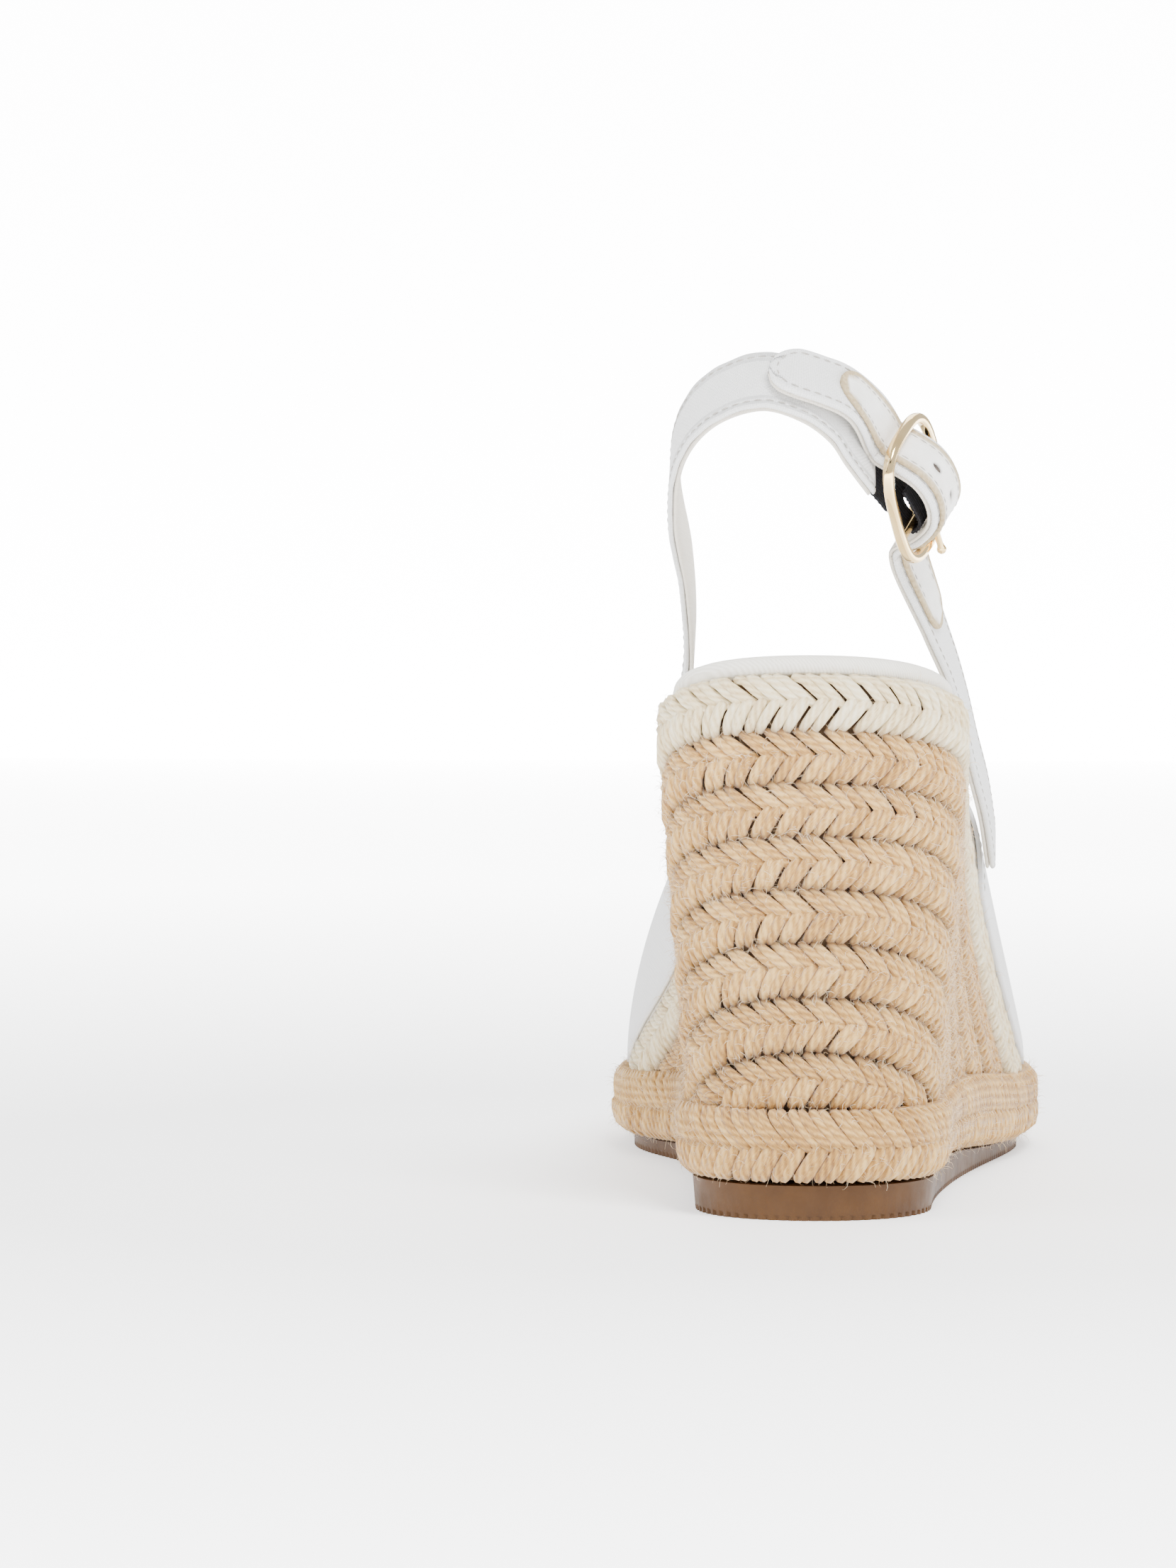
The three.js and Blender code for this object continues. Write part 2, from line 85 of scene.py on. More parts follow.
# ---- driving dimensions, in millimetres in the shoemaker's frame: heel back at y = 0, ground at z = 0 
LATERAL = [
    [(0, 0), (16.5, 0), (28.8, 11), (28.8, 28)],
    [(28.8, 28), (28.8, 92), (46, 125), (46.8, 162)],
    [(46.8, 162), (46.8, 200), (28, 241), (-6, 241)],
]
MEDIAL = [
    [(0, 0), (-16.5, 0), (-28.8, 11), (-28.8, 28)],
    [(-28.8, 28), (-28.8, 54), (-29.6, 84), (-32.8, 104)],
    [(-32.8, 104), (-36.6, 127), (-50, 134), (-50, 166)],
    [(-50, 166), (-50, 205), (-34, 241), (-6, 241)],
]
SOLE_LENGTH = 241
WIDEST_MEDIAL = -50
WEDGE_EDGE = [(0, 112), (62, 99.5), (124, 27), (160, 18.5)]
RUBBER_HEEL, RUBBER_BALL = 7.4, 3.6
FOXING_HEEL, FOXING_BALL = 23, 18.4
WALL_INSET = 2.6
CREAM_WIDTH, JUTE_WIDTH, JUTE_ROWS = 11.3, 10.2, 7
TOE_SPRING_FROM, TOE_SPRING_RISE = 195, 3.5
FLARE, LEAN = 0.0033, 0.05
INSOLE_INSET, INSOLE_HEIGHT = 6, 4.7
OUTLINE_STEPS = 40  # points on each Bezier stretch of an outline
SLING_WIDTH, STRAP_WIDTH, PATCH_WIDTH = 16.5, 14.2, 10.4

# The shoemaker's frame lies in the model's frame at this place.
SHIFT = (
    cad_box[0][0] * 1000 - WIDEST_MEDIAL,
    cad_box[1][1] * 1000 - SOLE_LENGTH,
    0,
)


# ---- small maths ---------------------------------------------------------------------------------
def lerp(a, b, t):
    return a + (b - a) * t


def clamp(value, low, high):
    return max(low, min(high, value))


def smooth(start, end, value):
    t = clamp((value - start) / (end - start), 0, 1)
    return t * t * (3 - 2 * t)


def placed(point):
    """A point in the shoemaker's millimetres, as metres in the model's frame."""
    return tuple((value + move) / 1000 for value, move in zip(point, SHIFT))


def bezier(stretch, t):
    s = 1 - t
    weights = (s**3, 3 * s * s * t, 3 * s * t * t, t**3)
    return np.array([sum(w * p[i] for w, p in zip(weights, stretch)) for i in (0, 1)])


def sampled(stretches, steps):
    """Points and unit tangents along a chain of Bezier stretches."""
    points, tangents = [], []
    for number, stretch in enumerate(stretches):
        for i in range(1 if number else 0, steps + 1):
            t = i / steps
            step = bezier(stretch, min(1, t + 1e-4)) - bezier(stretch, max(0, t - 1e-4))
            points.append(bezier(stretch, t))
            tangents.append(step / np.linalg.norm(step))
    return np.array(points), np.array(tangents)


def half_outline(half, inset):
    """One side of the sole in plan, heel to toe, moved inwards by inset."""
    points, tangents = sampled(half, OUTLINE_STEPS)
    turn = 1 if half is LATERAL else -1
    inwards = np.stack([-tangents[:, 1], tangents[:, 0]], axis=1) * turn
    return points + inwards * inset


def side_x(half, inset):
    """The x of one side of the sole at a given y."""
    line = half_outline(half, inset)
    return lambda y: float(np.interp(y, line[:, 1], line[:, 0]))


def plan_loop(inset, spacing):
    """The whole outline, evenly spaced, from the heel's back round by the medial side and the toe."""
    medial, lateral = half_outline(MEDIAL, inset), half_outline(LATERAL, inset)
    return evenly(np.concatenate([medial, lateral[::-1][1:]]), spacing)


def evenly(points, spacing):
    """A polyline's points again, spaced evenly along it."""
    points = np.asarray(points, float)
    run = np.concatenate([[0], np.cumsum(np.linalg.norm(np.diff(points, axis=0), axis=1))])
    marks = np.linspace(0, run[-1], max(2, round(run[-1] / spacing) + 1))
    return np.stack([np.interp(marks, run, points[:, i]) for i in range(points.shape[1])], axis=1)


# ---- heights of the sole -------------------------------------------------------------------------
def toe_lift(y):
    t = clamp((y - TOE_SPRING_FROM) / (SOLE_LENGTH - TOE_SPRING_FROM), 0, 1)
    return TOE_SPRING_RISE * t * t


def rubber_top(y):
    return lerp(RUBBER_HEEL, RUBBER_BALL, smooth(60, 140, y)) + toe_lift(y)


def foxing_top(y):
    return lerp(FOXING_HEEL, FOXING_BALL, smooth(80, 155, y)) + toe_lift(y)


def line_below(distance):
    """Height at y of the line that runs a set distance below the wedge's top edge."""
    points, tangents = sampled([WEDGE_EDGE], 60)
    ys = points[:, 0] + distance * tangents[:, 1]
    zs = points[:, 1] - distance * tangents[:, 0]
    start = (zs[1] - zs[0]) / (ys[1] - ys[0])
    return lambda y: float(np.interp(y, ys, zs)) if y > ys[0] else zs[0] + start * (y - ys[0])


wedge_edge = line_below(0)


def top_edge(y):
    return foxing_top(y) if y > WEDGE_EDGE[3][0] else max(wedge_edge(y), foxing_top(y))


def flared(x, y, z):
    """The upright wedge, widened sideways and leaned back as it rises."""
    rise = z - FOXING_HEEL
    near_heel = 1 - smooth(0, 160, y)
    return np.array([x * (1 + FLARE * rise * near_heel**0.5), y - LEAN * rise * near_heel, z])


# ---- meshes --------------------------------------------------------------------------------------
def new_object(name, mesh):
    made = bpy.data.objects.new(name, mesh)
    bpy.context.scene.collection.objects.link(made)
    return made


def mesh_object(name, points, faces, material=None):
    """An object from points in the shoemaker's millimetres."""
    mesh = bpy.data.meshes.new(name)
    mesh.from_pydata([placed(p) for p in points], [], faces)
    if material:
        mesh.materials.append(material)
    for polygon in mesh.polygons:
        polygon.use_smooth = True
    mesh.update()
    return new_object(name, mesh)


def faced_outwards(made):
    """Joins doubled points and turns every face outwards."""
    work = bmesh.new()
    work.from_mesh(made.data)
    bmesh.ops.remove_doubles(work, verts=work.verts, dist=1e-6)
    bmesh.ops.recalc_face_normals(work, faces=work.faces)
    work.to_mesh(made.data)
    work.free()
    return made


def grid_faces(rows, columns, loop_rows=False, loop_columns=False, first=0):
    """Quads of a grid whose point (i, j) has the index first + i * columns + j."""
    at = lambda i, j: first + (i % rows) * columns + j % columns
    return [
        (at(i, j), at(i + 1, j), at(i + 1, j + 1), at(i, j + 1))
        for i in range(rows if loop_rows else rows - 1)
        for j in range(columns if loop_columns else columns - 1)
    ]


def swept(name, sections, material=None, loop=False):
    """A closed skin through rings of points, capped at both ends unless it runs round in a loop."""
    rings, around = len(sections), len(sections[0])
    points = [p for ring in sections for p in ring]
    faces = grid_faces(rings, around, loop_rows=loop, loop_columns=True)
    if not loop:
        faces += [tuple(range(around)), tuple(range((rings - 1) * around, rings * around))]
    return faced_outwards(mesh_object(name, points, faces, material))


def set_uv(made, values):
    """A UV map from one (u, v) for each point."""
    layer = made.data.uv_layers.new(name="surface")
    corners = np.array([values[loop.vertex_index] for loop in made.data.loops], np.float32)
    layer.data.foreach_set("uv", corners.ravel())


def set_value(made, name, values):
    made.data.attributes.new(name, "FLOAT", "POINT").data.foreach_set("value", np.asarray(values, np.float32))


# ---- shaders -------------------------------------------------------------------------------------
class Sum:
    """A shader socket that adds Math nodes when it is used in an expression."""

    def __init__(self, shader, socket):
        self.shader, self.socket = shader, socket

    def _with(self, operation, other, swapped=False):
        pair = (other, self) if swapped else (self, other)
        return self.shader.node("ShaderNodeMath", {"operation": operation}, dict(enumerate(pair)))

    def __add__(self, other):
        return self._with("ADD", other)

    def __sub__(self, other):
        return self._with("SUBTRACT", other)

    def __mul__(self, other):
        return self._with("MULTIPLY", other)

    def __rsub__(self, other):
        return self._with("SUBTRACT", other, swapped=True)

    def __pow__(self, other):
        return self._with("POWER", other)

    __radd__, __rmul__ = __add__, __mul__

    def above(self, other):
        return self._with("GREATER_THAN", other)

    def limited(self):
        return self.shader.node("ShaderNodeClamp", {}, {"Value": self})

    def sine(self):
        return self.shader.node("ShaderNodeMath", {"operation": "SINE"}, {0: self})


class Shader:
    """One finish: a Principled shader whose constants are set on its own sockets."""

    def __init__(self, name, **constants):
        self.material = bpy.data.materials.new(name)
        self.material.use_nodes = True
        self.tree = self.material.node_tree
        self.surface = self.tree.nodes["Principled BSDF"]
        for socket, value in constants.items():
            self.surface.inputs[socket.replace("_", " ")].default_value = value

    def node(self, kind, settings, sockets, output=0):
        made = self.tree.nodes.new(kind)
        for key, value in settings.items():
            if key == "stops":
                self._set_stops(made.color_ramp, value)
            else:
                setattr(made, key, value)
        for key, value in sockets.items():
            if isinstance(value, Sum):
                self.tree.links.new(value.socket, made.inputs[key])
            else:
                made.inputs[key].default_value = value
        return Sum(self, made.outputs[output])

    @staticmethod
    def _set_stops(ramp, stops):
        while len(ramp.elements) < len(stops):
            ramp.elements.new(0.5)
        for element, (place, colour) in zip(ramp.elements, stops):
            element.position = place
            element.color = (*colour, 1)

    def feed(self, socket, value):
        self.tree.links.new(value.socket, self.surface.inputs[socket])

    def object_place(self):
        return self.node("ShaderNodeTexCoord", {}, {}, "Object")

    def surface_place(self):
        return self.node("ShaderNodeUVMap", {"uv_map": "surface"}, {})

    def value(self, name):
        return self.node("ShaderNodeAttribute", {"attribute_name": name}, {}, "Fac")

    def stretched(self, place, scale):
        return self.node("ShaderNodeMapping", {}, {"Vector": place, "Scale": scale})

    def parts(self, vector):
        made = self.node("ShaderNodeSeparateXYZ", {}, {"Vector": vector})
        return [Sum(self, socket) for socket in made.socket.node.outputs]

    def joined(self, x, y, z):
        return self.node("ShaderNodeCombineXYZ", {}, {"X": x, "Y": y, "Z": z})

    def noise(self, place, scale, detail=3, roughness=0.5):
        sockets = {"Vector": place, "Scale": scale, "Detail": detail, "Roughness": roughness}
        return self.node("ShaderNodeTexNoise", {}, sockets)

    def ramp(self, value, *stops):
        return self.node("ShaderNodeValToRGB", {"stops": stops}, {"Fac": value})

    def mixed(self, factor, a, b):
        """A colour mix."""
        full = lambda c: c if isinstance(c, Sum) else (*c, 1)
        return self.node("ShaderNodeMix", {"data_type": "RGBA"}, {0: factor, 6: full(a), 7: full(b)}, 2)

    def bump(self, height, strength, distance):
        sockets = {"Height": height, "Strength": strength, "Distance": distance}
        return self.node("ShaderNodeBump", {}, sockets)


PLAIN_THREAD = 1 / 0.45  # threads to the millimetre


def weave(shader, place, per_mm):
    """Height of a plain weave whose threads run along a surface's own u and v, in millimetres."""
    u, v, _ = shader.parts(place)
    turn = math.pi * per_mm
    over, under = (u * turn).sine(), (v * turn).sine()
    parity = (over * under).above(0)
    warp = 1 - over * over
    weft = 1 - under * under
    return parity * weft + (1 - parity) * warp


def linen(name, colour, shadow, slubs=0.5):
    """Plain-woven cloth with uneven threads and a light nap."""
    made = Shader(name, Roughness=0.92, Sheen_Weight=0.25, Sheen_Roughness=0.6)
    place = made.surface_place()
    cloth = weave(made, place, PLAIN_THREAD)
    slub = made.noise(made.stretched(place, (0.22, 2.2, 1)), 1.4) * 0.5
    slub += made.noise(made.stretched(place, (2.2, 0.22, 1)), 1.4) * 0.5
    nap = made.noise(made.object_place(), 1800)
    height = cloth + slub * slubs + nap * 0.3
    depth = (cloth * 0.5 + slub * 0.5 + 0.12).limited()
    made.feed("Base Color", made.mixed(depth, shadow, colour))
    made.feed("Normal", made.bump(height, 0.7, 0.00014))
    return made.material


def twill(name, colour, shadow):
    """Fine diagonal ribs, as on the insole's cotton cover."""
    made = Shader(name, Roughness=0.88, Sheen_Weight=0.2)
    place = made.surface_place()
    u, v, _ = made.parts(place)
    rib = ((u + v * 0.8) * (2 * math.pi / 0.62)).sine() * 0.5 + 0.5
    breaks = made.noise(made.stretched(place, (2.5, 0.8, 1)), 2.2)
    depth = (rib * 0.6 + breaks * 0.5).limited()
    made.feed("Base Color", made.mixed(depth, shadow, colour))
    made.feed("Normal", made.bump(rib + breaks * 0.4, 0.45, 0.0001))
    return made.material


def rope(name, light, middle, dark, seam):
    """Jute yarn: fine fibres along each strand, with painted shade where the strands tuck in."""
    made = Shader(name, Roughness=0.78, Sheen_Weight=0.3, Sheen_Roughness=0.45)
    along, shade, tuck = made.value("along"), made.value("shade"), made.value("tuck")
    side_a, side_b = made.value("side_a"), made.value("side_b")
    around = made.node("ShaderNodeMath", {"operation": "ARCTAN2"}, {0: side_b, 1: side_a})
    place = made.joined(along * 0.24, side_a * 1.6, side_b * 1.6 + shade * 37)
    fibre = made.noise(place, 3.2, 4, 0.62)
    lock = made.noise(made.joined(along * 0.6 + shade * 11, side_a * 0.6, side_b * 0.6), 1.5, 2)
    patch = made.noise(made.object_place(), 60, 2)
    ply = (around * 4 + along * 2.6).sine() * 0.5 + 0.5
    tone = fibre * 0.55 + lock * 0.3 + shade * 0.2 + patch * 0.25 - 0.24 + ply * 0.2
    colour = made.ramp(tone, (0.18, dark), (0.46, middle), (0.72, light))
    # Painted shade: the yarns' tucked ends are mixed towards the dark seam colour.
    made.feed("Base Color", made.mixed((tuck * 0.95).limited(), colour, seam))
    made.feed("Normal", made.bump(fibre * 1.0 + lock * 0.5 + ply * 0.9, 0.75, 0.00035))
    return made.material


def gum_rubber():
    made = Shader("gum_rubber", Specular_IOR_Level=0.28)
    place = made.object_place()
    cloud = made.noise(place, 55, 3)
    grain = made.noise(place, 1500, 2)
    dark, light = (0.05, 0.019, 0.0035), (0.09, 0.038, 0.007)
    made.feed("Base Color", made.ramp(cloud, (0.3, dark), (0.7, light)))
    made.feed("Roughness", made.noise(place, 240, 3) * 0.25 + 0.42)
    made.feed("Normal", made.bump(grain, 0.12, 0.0002))
    return made.material


def leather():
    """White coated leather; its cut edge is left raw and beige."""
    made = Shader("white_leather", Specular_IOR_Level=0.4)
    place = made.object_place()
    sockets = {"Vector": place, "Scale": 1500}
    cells = made.node("ShaderNodeTexVoronoi", {"feature": "DISTANCE_TO_EDGE"}, sockets)
    raw = made.value("raw")
    fibres = made.noise(place, 1400, 3)
    beige = made.ramp(fibres, (0.3, (0.34, 0.255, 0.14)), (0.7, (0.5, 0.4, 0.245)))
    cloud = made.noise(place, 300, 2)
    white = made.ramp(cloud, (0.3, (0.8, 0.785, 0.745)), (0.7, (0.86, 0.85, 0.825)))
    made.feed("Base Color", made.mixed(raw.limited(), white, beige))
    made.feed("Roughness", raw * 0.35 + 0.48)
    made.feed("Normal", made.bump(cells * 6 + fibres * raw, 0.25, 0.0001))
    return made.material


def ribbed_elastic():
    made = Shader("black_elastic", Roughness=0.85, Specular_IOR_Level=0.2)
    u, v, _ = made.parts(made.surface_place())
    stitch = (u * (2 * math.pi / 0.5)).sine() * 0.5 + 0.5
    made.feed("Base Color", made.mixed(stitch, (0.003, 0.003, 0.004), (0.014, 0.014, 0.017)))
    made.feed("Normal", made.bump(stitch + (v * (2 * math.pi / 0.9)).sine() * 0.3, 0.5, 0.0001))
    return made.material


def gold():
    """Polished pale gold plating with faint handling marks."""
    made = Shader("pale_gold", Metallic=1.0, Coat_Weight=0.2)
    place = made.object_place()
    marks = made.noise(made.stretched(place, (900, 900, 120)), 1.0, 4, 0.6)
    cloud = made.noise(place, 160, 2)
    made.feed("Base Color", made.ramp(cloud, (0.3, (0.8, 0.56, 0.24)), (0.7, (0.9, 0.68, 0.36))))
    made.feed("Roughness", marks * 0.08 + 0.04)
    made.feed("Normal", made.bump(marks, 0.04, 0.0001))
    return made.material


def fill_material(name, dark, light, scale):
    """A plain mottled finish for the layers inside the sole."""
    made = Shader(name, Roughness=0.9)
    grain = made.noise(made.object_place(), scale, 4)
    made.feed("Base Color", made.ramp(grain, (0.3, dark), (0.7, light)))
    made.feed("Normal", made.bump(grain, 0.3, 0.0003))
    return made.material


def thread():
    made = Shader("sewing_thread", Roughness=0.6, Sheen_Weight=0.3)
    twist = made.noise(made.object_place(), 2500, 2)
    # The thread's own colour, darkened to grey to paint the shade at the stitch holes.
    made.feed("Base Color", made.ramp(twist, (0.3, (0.25, 0.23, 0.2)), (0.7, (0.45, 0.42, 0.38))))
    return made.material


WHITE_LINEN = linen("white_linen", (0.86, 0.86, 0.855), (0.68, 0.675, 0.665))
STRAP_LINEN = linen("strap_linen", (0.87, 0.87, 0.865), (0.54, 0.535, 0.52), slubs=0.7)
OFF_WHITE = linen("off_white_lining", (0.8, 0.75, 0.66), (0.6, 0.53, 0.43), slubs=0.3)
COVER = twill("cream_twill", (0.86, 0.835, 0.765), (0.66, 0.625, 0.54))
# Each rope's light, middle and dark strand, and its shade where strands tuck in.
JUTE_COLOURS = (0.75, 0.475, 0.165), (0.49, 0.262, 0.064), (0.19, 0.076, 0.014), (0.07, 0.027, 0.008)
CREAM_COLOURS = (0.88, 0.79, 0.57), (0.77, 0.63, 0.36), (0.47, 0.31, 0.14), (0.27, 0.16, 0.07)
JUTE = rope("natural_jute", *JUTE_COLOURS)
CREAM = rope("bleached_jute", *CREAM_COLOURS)
GUM = gum_rubber()
LEATHER = leather()
ELASTIC = ribbed_elastic()
GOLD = gold()
THREAD_PAINTED_SHADE = thread()


# ---- geometry nodes ------------------------------------------------------------------------------
class Nodes:
    """A geometry node tree with named inputs for its sizes."""

    def __init__(self, name):
        self.tree = bpy.data.node_groups.new(name, "GeometryNodeTree")
        self.sockets = {}
        self.tree.interface.new_socket("Geometry", in_out="INPUT", socket_type="NodeSocketGeometry")
        self.tree.interface.new_socket("Geometry", in_out="OUTPUT", socket_type="NodeSocketGeometry")
        self.start = self.tree.nodes.new("NodeGroupInput")
        self.end = self.tree.nodes.new("NodeGroupOutput")

    def input(self, name, kind):
        made = self.tree.interface.new_socket(name, in_out="INPUT", socket_type=f"NodeSocket{kind}")
        self.sockets[name] = made.identifier
        return self.start.outputs[name]

    def node(self, kind, settings, sockets, output=0):
        made = self.tree.nodes.new(kind)
        for key, value in settings.items():
            setattr(made, key, value)
        for key, value in sockets.items():
            if isinstance(value, bpy.types.NodeSocket):
                self.tree.links.new(value, made.inputs[key])
            else:
                made.inputs[key].default_value = value
        return made.outputs[output]

    def times(self, a, b):
        return self.node("ShaderNodeMath", {"operation": "MULTIPLY"}, {0: a, 1: b})

    def named(self, name):
        return self.node("GeometryNodeInputNamedAttribute", {"data_type": "FLOAT"}, {"Name": name})

    def stored(self, geometry, name, value):
        settings = {"data_type": "FLOAT", "domain": "POINT"}
        sockets = {"Geometry": geometry, "Name": name, "Value": value}
        return self.node("GeometryNodeStoreNamedAttribute", settings, sockets)

    def finish(self, geometry, material):
        real = self.node("GeometryNodeRealizeInstances", {}, {"Geometry": geometry})
        done = self.node("GeometryNodeSetMaterial", {}, {"Geometry": real, "Material": material})
        self.tree.links.new(done, self.end.inputs[0])

    def grown(self, name, source, **values):
        """A plain mesh object made from the source by this tree."""
        modifier = source.modifiers.new("grow", "NODES")
        modifier.node_group = self.tree
        for key, value in values.items():
            modifier[self.sockets[key.replace("_", " ")]] = value
        graph = bpy.context.evaluated_depsgraph_get()
        mesh = bpy.data.meshes.new_from_object(source.evaluated_get(graph))
        source.modifiers.remove(modifier)
        mesh.name = name
        return new_object(name, mesh)


def yarn_tree():
    """Turns lines into round yarns whose thickness is the lines' own 'thick'."""
    nodes = Nodes("yarn_from_lines")
    finish = nodes.input("Finish", "Material")
    line = nodes.node("GeometryNodeMeshToCurve", {}, {"Mesh": nodes.start.outputs[0]})
    radius = nodes.named("thick")
    line = nodes.node("GeometryNodeSetCurveRadius", {}, {"Curve": line, "Radius": radius})
    length = nodes.node("GeometryNodeSplineParameter", {}, {}, "Length")
    line = nodes.stored(line, "along", nodes.times(length, 1000.0))
    ring = nodes.node("GeometryNodeCurvePrimitiveCircle", {}, {"Resolution": 7, "Radius": 1.0})
    place = nodes.node("GeometryNodeInputPosition", {}, {})
    parts = nodes.node("ShaderNodeSeparateXYZ", {}, {"Vector": place}).node
    ring = nodes.stored(ring, "side_a", parts.outputs[0])
    ring = nodes.stored(ring, "side_b", parts.outputs[1])
    settings = {"Curve": line, "Profile Curve": ring, "Scale": radius, "Fill Caps": True}
    skin = nodes.node("GeometryNodeCurveToMesh", {}, settings)
    skin = nodes.node("GeometryNodeSetShadeSmooth", {}, {"Geometry": skin})
    nodes.finish(skin, finish)
    return nodes


YARN = yarn_tree()


def yarns(name, lines, material):
    """One object of many yarns. A line is a list of (point, thickness, tuck) and a shade for the whole."""
    points, edges, thick, tuck, shade = [], [], [], [], []
    for stretch, tone in lines:
        first = len(points)
        for point, radius, tucked in stretch:
            points.append(placed(point))
            thick.append(radius / 1000)
            tuck.append(tucked)
            shade.append(tone)
        edges += [(i, i + 1) for i in range(first, len(points) - 1)]
    mesh = bpy.data.meshes.new(name + "_lines")
    mesh.from_pydata(points, edges, [])
    source = new_object(name + "_lines", mesh)
    for key, values in (("thick", thick), ("tuck", tuck), ("shade", shade)):
        set_value(source, key, values)
    made = YARN.grown(name, source, Finish=material)
    bpy.data.objects.remove(source)
    return made


# ---- braided rope --------------------------------------------------------------------------------
class PlanPath:
    """The sole's outline in plan as a line that can be walked; outwards is positive."""

    def __init__(self, line):
        self.line = evenly(line, 0.5)
        steps = np.linalg.norm(np.diff(self.line, axis=0), axis=1)
        self.run = np.concatenate([[0], np.cumsum(steps)])
        self.length = self.run[-1]

    def at(self, place, outwards=0.0):
        here, ahead = (self._xy(clamp(place + d, 0, self.length)) for d in (-0.4, 0.4))
        tangent = (ahead - here) / np.linalg.norm(ahead - here)
        return self._xy(place) + np.array([tangent[1], -tangent[0]]) * outwards

    def _xy(self, place):
        return np.array([np.interp(place, self.run, self.line[:, i]) for i in (0, 1)])


def round_heel(inset):
    """From the toe back along the medial side, round the heel and forward along the lateral side."""
    medial, lateral = half_outline(MEDIAL, inset), half_outline(LATERAL, inset)
    return PlanPath(np.concatenate([medial[::-1], lateral[1:]]))


WALL = round_heel(WALL_INSET)
EDGE = round_heel(0)

# Along one braided yarn: the places where it bends, and how deep in shadow each of them is.
ENDS = (0, 0.07, 0.24, 0.5, 0.78, 0.94, 1)
TUCKS = (1, 0.62, 0.08, 0, 0, 0.05, 0.4)
ROW_PITCH, FOXING_UPPER_PITCH, FOXING_LOWER_PITCH = 2.45, 2.3, 2.5
ROPE_ENDS_AT = 159  # no wedge yarn stands further forward than this
FOXING_FACE = 15.6  # the height of rope that the foxing's stations are given for


def strand_marks(length, pitch, chance):
    """Places along a row, in pairs that lie closer together, each with its own small unevenness."""
    for number in range(int(length / pitch)):
        pair = -0.19 if number % 2 == 0 else 0.19
        yield number, (number + 0.5) * pitch - pair + chance.gauss(0, 0.12)


class RowLine:
    """The middle line of one rope row round the heel, walked by its own length."""

    def __init__(self, distance):
        height = line_below(distance)
        self.places = np.arange(0, WALL.length, 0.5)
        self.heights = np.array([height(WALL.at(place)[1]) for place in self.places])
        steps = np.hypot(0.5, np.diff(self.heights))
        self.run = np.concatenate([[0], np.cumsum(steps)])
        self.length = self.run[-1]

    def at(self, run, down, outwards):
        """A point this far below the line and square to it, on the wedge's wall."""
        place = np.interp(run, self.run, self.places)
        before, height, after = np.interp([place - 1, place, place + 1], self.places, self.heights)
        rise = (after - before) / 2
        level = 1 / math.hypot(1, rise)
        xy = WALL.at(clamp(place + down * rise * level, 0, WALL.length), outwards)
        return [*xy, height - down * level]


def wedge_row(name, near, far, material, seed, curled=False):
    """A herringbone row: the upper yarns lean one way and the lower ones the other, meeting in the middle."""
    chance = random.Random(seed)
    width, row = far - near, RowLine((near + far) / 2)
    lines = []
    for half, (outer, lean, thick) in {"upper": (-0.02, 6.2, 1.05), "lower": (1.02, 3.9, 1.22)}.items():
        inner, under = (0.58, 0.5) if half == "upper" else (0.46, 0)
        for number, mark in strand_marks(row.length, ROW_PITCH, chance):
            stretch = []
            raised = 0.14 * (number % 2) + chance.gauss(0, 0.11)
            fat = thick * chance.uniform(0.92, 1.08)
            slant = lean * chance.uniform(0.92, 1.08)
            for q, tucked in zip(ENDS, TUCKS):
                swell = math.sin(math.pi * lerp(0.09, 0.8, q)) ** 0.7
                down = (lerp(outer, inner, q) - 0.5) * width
                point = row.at(mark + (q - 0.5) * slant, down, raised - 3.2 + 2.35 * swell - under * q)
                stretch.append([*point, fat * (0.6 + 0.42 * swell), tucked])
            y, z = stretch[3][1:3]
            if y > ROPE_ENDS_AT or z < foxing_top(y) - 0.6:
                continue
            if half == "upper" and curled:
                stretch = over_the_edge(stretch, row, mark - 0.5 * slant, width / 2)
            line = [(flared(x, y, max(z, foxing_top(y) - 1.6)), r, t) for x, y, z, r, t in stretch]
            lines.append((line, chance.random()))
    return yarns(name, lines, material)


def over_the_edge(stretch, row, mark, half):
    """The top yarns start further in and roll over the rope's upper edge."""
    rolled = []
    stations = (-5.6, 1.9, 0.8, 0.8), (-3.9, 0.95, 1.0, 0.1), (-2.3, 1.0, 1.02, 0)
    for outwards, below, radius, tucked in stations:
        rolled.append([*row.at(mark, below - half, outwards), radius, tucked])
    second = stretch[1]
    second[4], second[2] = 0.0, second[2] - 0.8
    return rolled + [second] + stretch[2:]


def foxing_half(chance, stations, pitch, reach, step, height):
    """One half of the sole's rope edge. A station is (outwards, rise, lean, thickness, tuck)."""
    lines = []
    for number, mark in strand_marks(EDGE.length, pitch, chance):
        raised = step * (number % 2) + chance.gauss(0, 0.12)
        line = []
        for outwards, rise, lean, radius, tucked in stations:
            x, y = EDGE.at((mark + lean * reach) % EDGE.length, outwards + raised)
            scale = (foxing_top(y) - rubber_top(y)) / FOXING_FACE
            line.append((flared(x, y, height(y, rise * scale)), radius, tucked))
        lines.append((line, chance.random()))
    return lines


